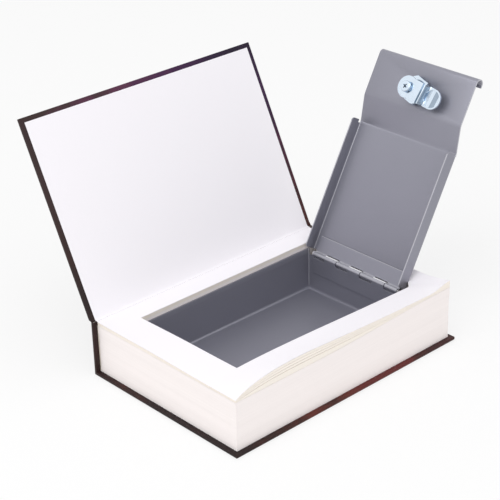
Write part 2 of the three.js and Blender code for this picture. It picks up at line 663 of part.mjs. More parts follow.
function lockBody() {
  const bore = PLUG_RADIUS + FIT;
  const headBase = STEEL + FIT;
  const headTop = -headOuter;
  const shell = turned([
    [bore, -BARREL_END], [BARREL_RADIUS - EDGE_BREAK, -BARREL_END], [BARREL_RADIUS, -BARREL_END + EDGE_BREAK],
    [BARREL_RADIUS, headBase], [HEAD_RADIUS, headBase], [HEAD_RADIUS, headTop - HEAD_ROUNDING],
    [HEAD_RADIUS - HEAD_ROUNDING, headTop], [faceCounterbore, headTop],
    [faceCounterbore, headTop - FACE_RECESS], [bore, headTop - FACE_RECESS]]);
  const barrelZ = [-BARREL_END - CUT_PAST, headBase];
  const flat = block([-HEAD_RADIUS, HEAD_RADIUS], [BARREL_FLATS / 2, HEAD_RADIUS], barrelZ);
  const grooveReach = PLUG_RADIUS + WAFER_ROOM;
  const grooveZ = [-waferDepth(WAFER_COUNT), -waferDepth(0) + SMALL_FIT];
  const groove = block([-WAFER_LEFT - FIT, WAFER_LEFT + FIT], [-grooveReach, grooveReach], grooveZ);
  let body = shell.subtract(flat).subtract(flat.rotate([0, 0, 180]));
  for (const turn of [CAM_REST_TURN, CAM_REST_TURN - CAM_TRAVEL]) {
    body = body.subtract(groove.rotate([0, 0, turn]));
  }
  for (const angle of stopPostAngles()) {
    const post = block([bore + EDGE_BREAK, BARREL_RADIUS - FIT], [-POST_WIDTH / 2, POST_WIDTH / 2],
      [-stopPostEnd, -BARREL_END + EDGE_BREAK]);
    body = body.add(post.rotate([0, 0, angle]));
  }
  return body;
}

// The stop washer's tab points along the cam; a post stands just past each end of its quarter turn
function stopPostAngles() {
  const tabAtRest = -90 + CAM_REST_TURN;
  return [tabAtRest + POST_CLEAR_TURN, tabAtRest - CAM_TRAVEL - POST_CLEAR_TURN];
}

function toothWasher() {
  const outer = NUT_ACROSS / 2;
  const shape = new THREE.Shape();
  steps(0, 2 * TOOTH_COUNT, 2 * TOOTH_COUNT).slice(0, -1).forEach((i) => {
    const radius = i % 2 ? outer : outer - TOOTH_DEPTH;
    const angle = (i * Math.PI) / TOOTH_COUNT;
    shape[i ? 'lineTo' : 'moveTo'](radius * Math.cos(angle), radius * Math.sin(angle));
  });
  const ring = raised(shape, -washerDepth - TOOTH_WASHER, -washerDepth);
  return ring.subtract(bar(BARREL_RADIUS + FIT, -washerDepth - TOOTH_WASHER - CUT_PAST, 0, 40));
}

function lockNut() {
  const corner = NUT_ACROSS / Math.sqrt(3);
  const hexagon = new THREE.CylinderGeometry(corner, corner, NUT_HEIGHT, 6);
  hexagon.rotateX(Math.PI / 2);
  hexagon.translate(0, 0, -nutDepth - NUT_HEIGHT / 2);
  const low = -nutDepth - NUT_HEIGHT;
  const chamfer = turned([[0, low], [NUT_ACROSS / 2, low], [corner, low + NUT_CHAMFER],
    [corner, -nutDepth - NUT_CHAMFER], [NUT_ACROSS / 2, -nutDepth], [0, -nutDepth]]);
  const bore = bar(BARREL_RADIUS + FIT, low - CUT_PAST, 0, 40);
  return solid(hexagon).intersect(chamfer).subtract(bore);
}

function lockPlug() {
  const face = -headOuter - SMALL_FIT;
  const shoulder = face - FACE_HEIGHT;
  const keywayEnd = -waferDepth(WAFER_COUNT);
  let plug = turned([[0, -plugEnd], [PLUG_RADIUS, -plugEnd], [PLUG_RADIUS, shoulder],
    [faceCounterbore - FIT, shoulder], [faceCounterbore - FIT, face], [0, face]]);
  plug = plug.add(block([-TANG / 2, TANG / 2], [-TANG / 2, TANG / 2], [-tangEnd, -plugEnd + EDGE_BREAK]));
  const keyway = block([keywayX - KEYWAY_WIDTH / 2, keywayX + KEYWAY_WIDTH / 2], [-KEYWAY_HALF, KEYWAY_HALF],
    [keywayEnd, face + CUT_PAST]);
  const screwHole = bar(SCREW_RADIUS + FIT, -tangEnd - CUT_PAST, keywayEnd - EDGE_BREAK, 20);
  plug = plug.subtract(keyway).subtract(screwHole);
  for (let i = 0; i < WAFER_COUNT; i += 1) {
    const z = [-waferDepth(i) - slotWidth, -waferDepth(i)];
    const slot = block([-WAFER_LEFT - SMALL_FIT, WAFER_RIGHT + SMALL_FIT], [-PLUG_RADIUS, PLUG_RADIUS], z);
    const springRoom = block([WAFER_RIGHT, springSide + SMALL_FIT],
      [-SPRING_SEAT - SMALL_FIT, PLUG_RADIUS], z);
    plug = plug.subtract(slot).subtract(springRoom);
  }
  return plug;
}

function wafer(i) {
  const z = [-waferDepth(i) - SMALL_FIT - WAFER, -waferDepth(i) - SMALL_FIT];
  const past = [z[0] - CUT_PAST, z[1] + CUT_PAST];
  const blank = block([-WAFER_LEFT, WAFER_RIGHT], [-PLUG_RADIUS, PLUG_RADIUS], z);
  const lug = block([WAFER_RIGHT - EDGE_BREAK, springSide], [LUG_BOTTOM, LUG_BOTTOM + LUG_HEIGHT], z);
  const round = bar(waferRound, past[0], past[1], 48);
  const windowLow = -WAFER_WINDOW_HALF + WAFER_CUT_STEP * ((i % 3) - 1);
  const window = block([keywayX - WAFER_WINDOW_WIDTH / 2, keywayX + WAFER_WINDOW_WIDTH / 2],
    [windowLow, WAFER_WINDOW_HALF], past);
  return blank.add(lug).intersect(round).subtract(window);
}

// A helix along Y, seated in the plug and pushing on the wafer's lug
class SpringCurve extends THREE.Curve {
  constructor(x, z, y0, y1) {
    super();
    Object.assign(this, { x, z, y0, y1 });
  }

  getPoint(t, target = new THREE.Vector3()) {
    const angle = 2 * Math.PI * SPRING_CURLS * t;
    return target.set(this.x + SPRING_RADIUS * Math.cos(angle), this.y0 + (this.y1 - this.y0) * t,
      this.z + SPRING_RADIUS * Math.sin(angle));
  }
}

function waferSpring(i) {
  const z = -waferDepth(i) - slotWidth / 2;
  const path = new SpringCurve(springX, z, SPRING_WIRE - SPRING_SEAT, LUG_BOTTOM - SMALL_FIT - SPRING_WIRE);
  const wire = new THREE.Shape();
  for (let k = 0; k < 5; k += 1) {
    const angle = (2 * Math.PI * k) / 5;
    wire[k ? 'lineTo' : 'moveTo'](SPRING_WIRE * Math.cos(angle), SPRING_WIRE * Math.sin(angle));
  }
  const drawn = { extrudePath: path, steps: 8 * SPRING_CURLS, bevelEnabled: false };
  return solid(new THREE.ExtrudeGeometry(wire, drawn));
}

function squareHole(z0, z1) {
  const half = TANG / 2 + FIT;
  return block([-half, half], [-half, half], [z0, z1]);
}

function stopWasher() {
  const z = [-stopWasherDepth - STOP_WASHER, -stopWasherDepth];
  const disc = bar(TANG / Math.SQRT2 + STOP_RIM, z[0], z[1], 32);
  const tab = block([-STOP_TAB / 2, STOP_TAB / 2], [-BARREL_RADIUS + EDGE_BREAK, 0], z);
  return disc.add(tab).subtract(squareHole(z[0] - CUT_PAST, z[1] + CUT_PAST));
}

// The cam: a round hub on the tang, a double bend that brings it nearer the panel, and a round tip
function cam() {
  const hubMid = -camDepth - CAM_THICK / 2;
  const tipMid = hubMid + CAM_CRANK_DROP;
  const tipCentre = CAM_REACH - CAM_WIDTH / 2;
  const strip = bentStrip([[-CAM_HUB_RADIUS, hubMid], [CAM_BEND, hubMid], [CAM_BEND + CAM_CRANK_RUN, tipMid],
    [CAM_REACH, tipMid]], CAM_THICK, -CAM_HUB_RADIUS, CAM_HUB_RADIUS);
  const bottom = hubMid - 2 * CAM_THICK;
  const top = tipMid + 2 * CAM_THICK;
  const outline = bar(CAM_HUB_RADIUS, bottom, top, 40)
    .add(block([0, tipCentre], [-CAM_WIDTH / 2, CAM_WIDTH / 2], [bottom, top]))
    .add(bar(CAM_WIDTH / 2, bottom, top, 40).translate([tipCentre, 0, 0]));
  return strip.intersect(outline).subtract(squareHole(bottom - CUT_PAST, top + CUT_PAST)).rotate([0, 0, -90]);
}

function springWasher() {
  const z = [-springWasherDepth - SPRING_WASHER, -springWasherDepth];
  const past = [z[0] - CUT_PAST, z[1] + CUT_PAST];
  const split = block([0, SCREW_HEAD_RADIUS], [-SPRING_WASHER_SPLIT / 2, SPRING_WASHER_SPLIT / 2], past);
  const ring = bar(SCREW_HEAD_RADIUS - SCREW_HEAD_ROUNDING, z[0], z[1], 24);
  return ring.subtract(bar(SCREW_RADIUS + FIT, past[0], past[1], 24)).subtract(split);
}

function camScrew() {
  const seat = -screwHeadDepth;
  const top = seat - SCREW_HEAD_HEIGHT;
  const crown = SCREW_HEAD_RADIUS - SCREW_HEAD_ROUNDING;
  const tip = -waferDepth(WAFER_COUNT) - EDGE_BREAK - FIT;
  const screw = turned([[0, top], [crown, top], [SCREW_HEAD_RADIUS, top + SCREW_HEAD_ROUNDING],
    [SCREW_HEAD_RADIUS, seat], [SCREW_RADIUS, seat], [SCREW_RADIUS, tip], [0, tip]], 32);
  const blade = block([-RECESS_LENGTH / 2, RECESS_LENGTH / 2], [-RECESS_WIDTH / 2, RECESS_WIDTH / 2],
    [top - CUT_PAST, top + RECESS_DEPTH]);
  return screw.subtract(blade).subtract(blade.rotate([0, 0, 90]));
}

// The front cover, drawn shut: it runs from the joint line (0, 0) towards -Y with its outside facing up
function addFrontCover(parent) {
  const cover = new THREE.Group();
  cover.position.set(0, coverHingeY, coverHingeZ);
  cover.rotation.x = rad(-COVER_OPEN);
  parent.add(cover);
  const boardLow = coverStack - boardBottom - BOARD;
  const boardHigh = coverStack - boardBottom;
  const board = block([-halfLength + boardBottom, halfLength - boardBottom],
    [-coverReach + boardBottom, -COVER_JOINT], [boardLow, boardHigh]);
  place(cover, 'front_board', board, greyboard);

  const wrapLow = coverStack - turnInBottom - WRAP;
  const wrap = block([-halfLength, halfLength], [-coverReach, -COVER_JOINT / 2], [wrapLow, coverStack]);
  const hollow = block([-halfLength + WRAP, halfLength - WRAP], [-coverReach + WRAP, CUT_PAST],
    [wrapLow + WRAP, coverStack - WRAP]);
  const window = block([-halfLength + TURN_IN, halfLength - TURN_IN], [-coverReach + TURN_IN, CUT_PAST],
    [wrapLow - CUT_PAST, wrapLow + WRAP + GLUE_LINE]);
  place(cover, 'front_cover_wrap', wrap.subtract(hollow).subtract(window), printedWrap);

  const pastedown = block([-pagesHalf, pagesHalf], [-coverReach + SQUARE, -FIT], [0, ENDPAPER]);
  place(cover, 'front_endpaper', pastedown, whitePaper);
}

const group = new THREE.Group();
addBackAndSpine(group);
addPages(group);
addBox(group);
addLid(group);
addFrontCover(group);
export default group;
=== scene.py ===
"""The looks of a book diversion safe: a hardback cut out round a folded steel box with a locking lid."""
import math
import random

import bmesh
import bpy
from mathutils import Matrix, Vector


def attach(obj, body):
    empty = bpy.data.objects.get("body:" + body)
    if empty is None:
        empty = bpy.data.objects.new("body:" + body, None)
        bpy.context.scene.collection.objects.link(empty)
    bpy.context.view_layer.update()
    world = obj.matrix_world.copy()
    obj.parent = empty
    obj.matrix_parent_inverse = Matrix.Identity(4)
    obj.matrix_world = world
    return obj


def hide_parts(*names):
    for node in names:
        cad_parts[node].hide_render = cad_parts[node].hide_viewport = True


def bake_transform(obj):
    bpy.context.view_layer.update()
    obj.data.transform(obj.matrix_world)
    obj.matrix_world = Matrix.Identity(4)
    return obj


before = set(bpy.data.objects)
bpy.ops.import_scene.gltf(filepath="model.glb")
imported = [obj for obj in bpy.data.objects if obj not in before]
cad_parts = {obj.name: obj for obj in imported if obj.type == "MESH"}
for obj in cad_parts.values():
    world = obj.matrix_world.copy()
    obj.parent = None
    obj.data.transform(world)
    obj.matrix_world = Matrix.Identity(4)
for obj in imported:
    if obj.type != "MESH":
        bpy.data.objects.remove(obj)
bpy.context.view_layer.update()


# The camera looks down on the book's tail and fore-edge corner, with the cover behind it on the left
# and the open lid behind it on the right.
VIEW = Vector((0.6010, 0.6581, -0.4535))
RIGHT = Vector((0.7304, -0.6826, -0.0226))
UP = Vector((0.3245, 0.3177, 0.8910))
bpy.ops.object.camera_add(location=(-0.7448, -0.7863, 0.6471))
camera = bpy.context.object
camera.name = "camera"
camera.rotation_euler = Matrix((RIGHT, UP, -VIEW)).transposed().to_euler()
camera.data.lens = 113.45
camera.data.sensor_width = 36
bpy.context.scene.camera = camera


# The case that stays on the table: one sheet of printed paper glued round the back board and the spine
# board. Its edges are turned in over the boards, and the corners are softly rounded by handling.
MM = 0.001
HALF_LENGTH = 120 * MM
FORE, SPINE = -82.5 * MM, 82.5 * MM
CASE_DEPTH = 2.5 * MM
WRAP = 0.25 * MM
EDGE_ROUND = 0.45 * MM
TURN_IN = 14 * MM
SPINE_INNER = 80.0 * MM
SPINE_TOP = 47.2 * MM
FLAT = 0.995


def take_up(name, scale=(1, 1, 1)):
    """Names the shape just added, and works its place and size into its points."""
    piece = bpy.context.object
    piece.name = piece.data.name = name
    piece.scale = [a * b for a, b in zip(piece.scale, scale)]
    bpy.ops.object.transform_apply()
    return piece


def new_block(name, low, high):
    """A block between two corners, with its object at the origin, ready to be shaped."""
    bpy.ops.object.select_all(action="DESELECT")
    middle = [(a + b) / 2 for a, b in zip(low, high)]
    bpy.ops.mesh.primitive_cube_add(size=1, location=middle, scale=[b - a for a, b in zip(low, high)])
    return take_up(name)


def pick_piece(piece):
    """Picks one piece alone and makes it the active one."""
    bpy.ops.object.select_all(action="DESELECT")
    piece.select_set(True)
    bpy.context.view_layer.objects.active = piece


def open_piece(piece):
    """Starts editing one piece with nothing of it picked."""
    pick_piece(piece)
    bpy.ops.object.mode_set(mode="EDIT")
    bpy.ops.mesh.select_all(action="DESELECT")


def close_piece():
    bpy.ops.object.mode_set(mode="OBJECT")


def pick_where(piece, mode, test):
    """Picks the open piece's faces, edges or points that pass the test."""
    bpy.ops.mesh.select_mode(type=mode)
    bpy.ops.mesh.select_all(action="DESELECT")
    mesh = bmesh.from_edit_mesh(piece.data)
    for item in {"FACE": mesh.faces, "EDGE": mesh.edges, "VERT": mesh.verts}[mode]:
        item.select_set(bool(test(item)))
    bmesh.update_edit_mesh(piece.data)


def pick_faces(piece, test):
    """Picks the faces whose middle and normal pass the test."""
    pick_where(piece, "FACE", lambda face: test(face.calc_center_median(), face.normal))


def pick_edges(piece, test):
    """Picks the edges whose middle and direction pass the test."""
    def passes(edge):
        a, b = edge.verts[0].co, edge.verts[1].co
        return test((a + b) / 2, (b - a).normalized())
    pick_where(piece, "EDGE", passes)


def drop_faces(piece, test):
    pick_faces(piece, test)
    bpy.ops.mesh.delete(type="FACE")


def bend_edges(piece, test, radius, steps):
    """Rounds the edges that pass the test."""
    pick_edges(piece, test)
    bpy.ops.mesh.bevel(offset=radius, segments=steps, affect="EDGES")


def pull(x, y, z):
    """Extrudes what is picked and moves the new part."""
    bpy.ops.mesh.extrude_region_move(TRANSFORM_OT_translate={"value": (x, y, z)})


def inset(width):
    bpy.ops.mesh.inset(thickness=width, depth=0)


def cut_all(place, normal):
    """Cuts the whole open piece along a plane."""
    bpy.ops.mesh.select_mode(type="FACE")
    bpy.ops.mesh.select_all(action="SELECT")
    bpy.ops.mesh.bisect(plane_co=place, plane_no=normal)


def cut_at(axis, value):
    """Cuts the whole open piece square to one axis."""
    normal = [float(axis == name) for name in "xyz"]
    cut_all([value * share for share in normal], normal)


def near(value, target, tolerance=0.05 * MM):
    return abs(value - target) < tolerance


def finish_with(piece, kind, **settings):
    """Adds a modifier and applies it at once."""
    pick_piece(piece)
    modifier = piece.modifiers.new(kind.title(), kind)
    for name, value in settings.items():
        setattr(modifier, name, value)
    bpy.ops.object.modifier_apply(modifier=modifier.name)


def ease_edges(piece, width, steps=2, angle=50):
    finish_with(piece, "BEVEL", width=width, segments=steps, limit_method="ANGLE", angle_limit=math.radians(angle))


def give_wall(piece, thickness, offset=-1):
    finish_with(piece, "SOLIDIFY", thickness=thickness, offset=offset, use_even_offset=True)


def dress(piece, material, body, slot, *nodes):
    """Gives a finished piece its material and the body it moves with, and hides the solid it stands for."""
    piece.data.materials.clear()
    piece.data.materials.append(material)
    pick_piece(piece)
    bpy.ops.object.shade_smooth_by_angle(angle=math.radians(32))
    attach(piece, body)
    if nodes:
        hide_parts(*nodes)


def paint_node(node, material):
    """Gives a solid whose shape is kept a better material."""
    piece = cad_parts[node]
    piece.data.materials.clear()
    piece.data.materials.append(material)


def set_inputs(node, values):
    for name, value in values.items():
        node.inputs[name].default_value = value


def new_material(name, colour, roughness, metallic=0.0):
    material = bpy.data.materials.new(name)
    material.use_nodes = True
    shader = material.node_tree.nodes["Principled BSDF"]
    set_inputs(shader, {"Base Color": (*colour, 1), "Roughness": roughness, "Metallic": metallic})
    return material, material.node_tree.nodes, material.node_tree.links, shader


def add_math(nodes, operation, *values):
    """A node that calculates. A value of None is left for a link."""
    node = nodes.new("ShaderNodeMath")
    node.operation = operation
    for socket, value in zip(node.inputs, values):
        if value is not None:
            socket.default_value = value
    return node


def make_grain_group():
    """Fine unevenness: a height for bumps and a shade close to one, from noise of a given size."""
    group = bpy.data.node_groups.new("grain", "ShaderNodeTree")
    for name, way, kind in (("Vector", "INPUT", "Vector"), ("Size", "INPUT", "Float"),
                            ("Detail", "INPUT", "Float"), ("Spread", "INPUT", "Float"),
                            ("Height", "OUTPUT", "Float"), ("Shade", "OUTPUT", "Float")):
        group.interface.new_socket(name=name, in_out=way, socket_type="NodeSocket" + kind)
    given = group.nodes.new("NodeGroupInput")
    result = group.nodes.new("NodeGroupOutput")
    noise = group.nodes.new("ShaderNodeTexNoise")
    centred = add_math(group.nodes, "SUBTRACT", None, 0.5)
    spread = add_math(group.nodes, "MULTIPLY_ADD", None, None, 1.0)
    link = group.links.new
    link(given.outputs["Vector"], noise.inputs["Vector"])
    link(given.outputs["Size"], noise.inputs["Scale"])
    link(given.outputs["Detail"], noise.inputs["Detail"])
    link(noise.outputs["Fac"], centred.inputs[0])
    link(centred.outputs[0], spread.inputs[0])
    link(given.outputs["Spread"], spread.inputs[1])
    link(noise.outputs["Fac"], result.inputs["Height"])
    link(spread.outputs[0], result.inputs["Shade"])
    return group


grain_group = make_grain_group()


def add_grain(nodes, links, size, detail, spread, stretch=(1, 1, 1)):
    """Places the grain group on Object coordinates and returns its node."""
    place = nodes.new("ShaderNodeTexCoord")
    mapping = nodes.new("ShaderNodeMapping")
    mapping.inputs["Scale"].default_value = stretch
    grain = nodes.new("ShaderNodeGroup")
    grain.node_tree = grain_group
    set_inputs(grain, {"Size": size, "Detail": detail, "Spread": spread})
    links.new(place.outputs["Object"], mapping.inputs["Vector"])
    links.new(mapping.outputs["Vector"], grain.inputs["Vector"])
    return grain


def add_bump(nodes, links, shader, height, depth):
    bump = nodes.new("ShaderNodeBump")
    bump.inputs["Distance"].default_value = depth
    links.new(height, bump.inputs["Height"])
    links.new(bump.outputs["Normal"], shader.inputs["Normal"])


def tint(nodes, links, colour, shade):
    """A colour multiplied by a shade, as one colour output."""
    mix = nodes.new("ShaderNodeMix")
    mix.data_type = "RGBA"
    mix.blend_type = "MULTIPLY"
    mix.inputs["Factor"].default_value = 1.0
    if isinstance(colour, tuple):
        mix.inputs["A"].default_value = (*colour, 1)
    else:
        links.new(colour, mix.inputs["A"])
    links.new(shade, mix.inputs["B"])
    return mix.outputs["Result"]


def add_ramp(nodes, stops):
    """A colour that changes through the stops, each a place from 0 to 1 and its colour."""
    ramp = nodes.new("ShaderNodeValToRGB")
    for element, (position, colour) in zip(ramp.color_ramp.elements, (stops[0], stops[-1])):
        element.position, element.color = position, (*colour, 1)
    for position, colour in stops[1:-1]:
        ramp.color_ramp.elements.new(position).color = (*colour, 1)
    return ramp


PRINT_LOW, PRINT_HIGH, PRINT_DRIFT = 50 * MM, 150 * MM, 2.6


def make_printed_paper():
    """Cover paper under a thin film. Its dark cloudy print is brown at the tail. Towards the head it is
    red-brown low down, and plum to violet high up."""
    material, nodes, links, shader = new_material("printed_cover_paper", (0.02, 0.012, 0.012), 0.5)
    place = nodes.new("ShaderNodeTexCoord")
    clouds = nodes.new("ShaderNodeTexNoise")
    set_inputs(clouds, {"Scale": 14, "Detail": 6, "Roughness": 0.62})
    split = nodes.new("ShaderNodeSeparateXYZ")
    drift = add_math(nodes, "MULTIPLY_ADD", None, PRINT_DRIFT)
    low_print = add_ramp(nodes, [
        (0.15, (0.022, 0.013, 0.013)), (0.27, (0.035, 0.015, 0.013)), (0.42, (0.110, 0.024, 0.018)),
        (0.65, (0.110, 0.018, 0.018)), (0.75, (0.055, 0.013, 0.011)), (0.9, (0.032, 0.009, 0.010))])
    high_print = add_ramp(nodes, [
        (0.1, (0.034, 0.020, 0.021)), (0.3, (0.042, 0.024, 0.024)), (0.44, (0.095, 0.028, 0.062)),
        (0.6, (0.050, 0.014, 0.058)), (0.8, (0.022, 0.008, 0.034)), (1.0, (0.010, 0.005, 0.016))])
    height = nodes.new("ShaderNodeMapRange")
    set_inputs(height, {"From Min": PRINT_LOW, "From Max": PRINT_HIGH})
    pattern = nodes.new("ShaderNodeMix")
    pattern.data_type = "RGBA"
    links.new(place.outputs["Object"], clouds.inputs["Vector"])
    links.new(place.outputs["Object"], split.inputs["Vector"])
    links.new(split.outputs["X"], drift.inputs[0])
    links.new(clouds.outputs["Fac"], drift.inputs[2])
    links.new(split.outputs["Z"], height.inputs["Value"])
    links.new(height.outputs["Result"], pattern.inputs["Factor"])
    for ramp, side in ((low_print, "A"), (high_print, "B")):
        links.new(drift.outputs[0], ramp.inputs["Fac"])
        links.new(ramp.outputs["Color"], pattern.inputs[side])
    links.new(pattern.outputs["Result"], shader.inputs["Base Color"])
    fibre = add_grain(nodes, links, 900, 2, 0.1)
    add_bump(nodes, links, shader, fibre.outputs["Height"], 0.00004)
    shader.inputs["Specular IOR Level"].default_value = 0.2
    return material


printed_paper = make_printed_paper()
bound_case = new_block("bound_case", (-HALF_LENGTH, FORE, 0), (HALF_LENGTH, SPINE, CASE_DEPTH))
open_piece(bound_case)
cut_at("y", SPINE_INNER)
pick_faces(bound_case, lambda c, n: n.z > 0.9 and c.y > SPINE_INNER)
pull(0, 0, SPINE_TOP - CASE_DEPTH)
bend_edges(bound_case, lambda c, d: near(c.z, 0) or near(abs(c.x), HALF_LENGTH) or near(c.y, FORE)
           or (near(c.y, SPINE) and abs(d.x) > 0.9), EDGE_ROUND, 3)
pick_faces(bound_case, lambda c, n: n.z > FLAT and near(c.z, CASE_DEPTH))
inset(TURN_IN)
bpy.ops.mesh.delete(type="FACE")
drop_faces(bound_case, lambda c, n: n.z > FLAT and near(c.z, SPINE_TOP))
pick_faces(bound_case, lambda c, n: n.y < -FLAT and near(c.y, SPINE_INNER))
inset(TURN_IN)
bpy.ops.mesh.delete(type="FACE")
close_piece()
give_wall(bound_case, WRAP)
dress(bound_case, printed_paper, "book", "printed_wrap", "case_wrap")


# The boards inside the case are grey pressed board, cut square. Only their ends show, and only where
# the paper stands open at the top of the spine.
def shade_with(nodes, links, shader, colour, *grains):
    """Gives the finish a colour multiplied by the grains' shades."""
    for grain in grains:
        colour = tint(nodes, links, colour, grain.outputs["Shade"])
    links.new(colour, shader.inputs["Base Color"])


def make_grained(name, colour, roughness, grains, relief=0.0, metallic=0.0):
    """A finish shaded by its grains, each a size, a detail, a spread and perhaps a stretch. The first
    one's height is its relief, where it has any."""
    material, nodes, links, shader = new_material(name, colour, roughness, metallic)
    placed = [add_grain(nodes, links, *grain) for grain in grains]
    shade_with(nodes, links, shader, colour, *placed)
    if relief:
        add_bump(nodes, links, shader, placed[0].outputs["Height"], relief)
    return material


greyboard = make_grained("greyboard", (0.33, 0.30, 0.27), 0.95, [(1400, 4, 0.5)], 0.0002)
for board in ("back_board", "spine_board", "front_board"):
    paint_node(board, greyboard)


# The endpapers are smooth bright white sheets. Half of each is pasted down inside a cover, and the
# front one's free half lies on the pages.
white_paper = make_grained("endpaper_white", (0.93, 0.905, 0.945), 0.72, [(700, 5, 0.02)], 0.00003)
for sheet in ("back_endpaper", "front_endpaper"):
    paint_node(sheet, white_paper)


# The page block is some hundreds of leaves cut out round the box and glued at the spine. Its sides show
# the leaves' edges as fine level lines, with a few groups of leaves standing a hair proud.
PAGES_LOW, PAGES_TOP = 2.85 * MM, 43.65 * MM
PAGES_HALF = 116 * MM
PAGES_FORE, PAGES_SPINE = -78.5 * MM, 79.3 * MM
HOLE_TAIL, HOLE_FORE, HOLE_SPINE = -88.0 * MM, -48.7 * MM, 60.6 * MM
HOLE_HEAD = 104.75 * MM
HEAD_FULLNESS, FULLNESS_RUN = 4.4 * MM, 145 * MM
CUT_EASE, CUT_SLANT = 1 * MM, 3 * MM
CORNER_CUT = 8.5 * MM
GATHERING_LEAST, GATHERING_MOST = 0.9 * MM, 2.2 * MM
PROUD, PROUD_ACROSS = 0.12 * MM, 1.4
SLICES_LONG, SLICES_WIDE = 16, 10
POCKET_LOW, POCKET_HIGH = (-92.8 * MM, -13.0 * MM, 23.25 * MM), (-80 * MM, 16.25 * MM, 27.25 * MM)


def share_of(value, start, end):
    """How far a value has come from one place to another, held between 0 and 1."""
    return min(max((value - start) / (end - start), 0), 1)


def smooth(value, start, end):
    share = share_of(value, start, end)
    return share * share * (3 - 2 * share)


def fullness(x, y):
    """How much fuller the pages' edges stand towards the corner of their head and fore edge."""
    outwards = max(share_of(y, HOLE_FORE, PAGES_FORE), share_of(x, HOLE_HEAD, PAGES_HALF))
    towards_corner = smooth(x, PAGES_HALF - FULLNESS_RUN, PAGES_HALF) * (1 - smooth(y, HOLE_FORE, PAGES_SPINE))
    return HEAD_FULLNESS * towards_corner * outwards


def paint_weights(piece, name, measure, most):
    """Weights each point of a piece by a measure of its place, as a share of the most."""
    weights = piece.vertex_groups.new(name=name)
    for point in piece.data.vertices:
        weights.add([point.index], share_of(measure(*point.co), 0, most), "REPLACE")


def move_by(piece, measure, direction, most):
    """Moves each point of a piece along one axis, as far as a measure of its place says, by painted weights."""
    paint_weights(piece, "moved", measure, most)
    finish_with(piece, "DISPLACE", direction=direction, strength=most, mid_level=0, vertex_group="moved")
    piece.vertex_groups.remove(piece.vertex_groups["moved"])


def cut_with(piece, cutter, operation="DIFFERENCE"):
    """Cuts one finished shape with another, which is then thrown away."""
    finish_with(piece, "BOOLEAN", object=cutter, operation=operation, solver="EXACT")
    bpy.data.objects.remove(cutter, do_unlink=True)


page_edges = make_grained("page_edges", (0.94, 0.88, 0.865), 0.88, [
    (1.0, 3, 0.08, (6, 6, 2600)), (1.0, 2, 0.05, (3, 3, 260)), (9.0, 2, 0.03)], 0.00006)
page_block = new_block("page_block", (-PAGES_HALF, PAGES_FORE, PAGES_LOW), (PAGES_HALF, PAGES_SPINE, PAGES_TOP))
open_piece(page_block)
gathering = random.Random(7)
level = PAGES_LOW
while level < PAGES_TOP - GATHERING_MOST:
    level += gathering.uniform(GATHERING_LEAST, GATHERING_MOST)
    cut_at("z", level)
    pick_edges(page_block, lambda c, d: near(c.z, level, 0.01 * MM))
    swell = gathering.uniform(-PROUD, PROUD) / PAGES_HALF
    bpy.ops.transform.resize(value=(1 + swell, 1 + swell * PROUD_ACROSS, 1), center_override=(0, 0, level))
for i in range(SLICES_LONG):
    cut_at("x", PAGES_HALF - FULLNESS_RUN * i / SLICES_LONG)
for i in range(SLICES_WIDE):
    cut_at("y", PAGES_FORE + (PAGES_SPINE - PAGES_FORE) * i / SLICES_WIDE)
close_piece()
cut_out = new_block("cut_out", (HOLE_TAIL, HOLE_FORE - CUT_EASE, 0), (HOLE_HEAD, HOLE_SPINE, 60 * MM))
open_piece(cut_out)
pick_edges(cut_out, lambda c, d: abs(d.z) > 0.9 and c.x > 0 and c.y < 0)
bpy.ops.transform.translate(value=(0, -CUT_SLANT, 0))
bpy.ops.mesh.bevel(offset=CORNER_CUT, segments=1, affect="EDGES")
close_piece()
cut_with(page_block, cut_out)
cut_with(page_block, new_block("cam_pocket", POCKET_LOW, POCKET_HIGH))
move_by(page_block, lambda x, y, z: fullness(x, y) * share_of(z, PAGES_LOW, PAGES_TOP), "Z", HEAD_FULLNESS)
dress(page_block, page_edges, "book", "page_paper", "text_block")


# The loose leaves lie on the block, cut out like it. They have lifted in a low wave along the fore
# edge, the top one most, and settle flat again towards the spine. The lower ones lie in thin sheaves.
LEAF = 0.25 * MM
LEAF_PITCH = 0.45 * MM
LEAF_AIR = 0.2 * MM
LEAF_LIFT = 9.3 * MM
CORNER_CURL, CURL_RUN = 3.9 * MM, 23.2 * MM
CUT_LIFT_SHARE = 0.34
DRAW_IN = 89.4 * MM
SPINE_SWELL, SWELL_RUN = 0.2 * MM, 74.5 * MM
LEAF_COUNT = 5
LEAF_COLUMNS, LEAF_ROWS = 72, 48
RISE_MOST, EASE_MOST, DRAW_MOST = 20 * MM, 4 * MM, 2 * MM
SHEAF_GAP, SHEAF_MOST = 0.08 * MM, 5 * MM
SHEAF_SLACK, SLACK_RUN = 0.13, 1.8 * MM
HINGE_Y, HINGE_Z = 82.4 * MM, 47.9 * MM
FLYLEAF_END, FLYLEAF_DROP = 82.1 * MM, 0.55 * MM


def leaf_rise(layer, x, y):
    """How far a point of a leaf is lifted: the belly reaches the cut-out in part, the corner's curl doesn't."""
    share = (layer + 1) / LEAF_COUNT
    belly = math.sin(math.pi * share_of(x, -PAGES_HALF, PAGES_HALF) ** 0.52) ** 1.5 * LEAF_LIFT
    curl = smooth(x, PAGES_HALF - CURL_RUN, PAGES_HALF) * CORNER_CURL
    outwards = share_of(y, HOLE_FORE, PAGES_FORE) ** 1.3
    reach = CUT_LIFT_SHARE * share_of(y, HOLE_SPINE, HOLE_FORE) + (1 - CUT_LIFT_SHARE) * outwards
    towards_spine = smooth(y, HOLE_FORE, HOLE_FORE + SWELL_RUN)
    return (belly * reach + curl * outwards) * share ** 0.8 + towards_spine * SPINE_SWELL * (layer + 1)


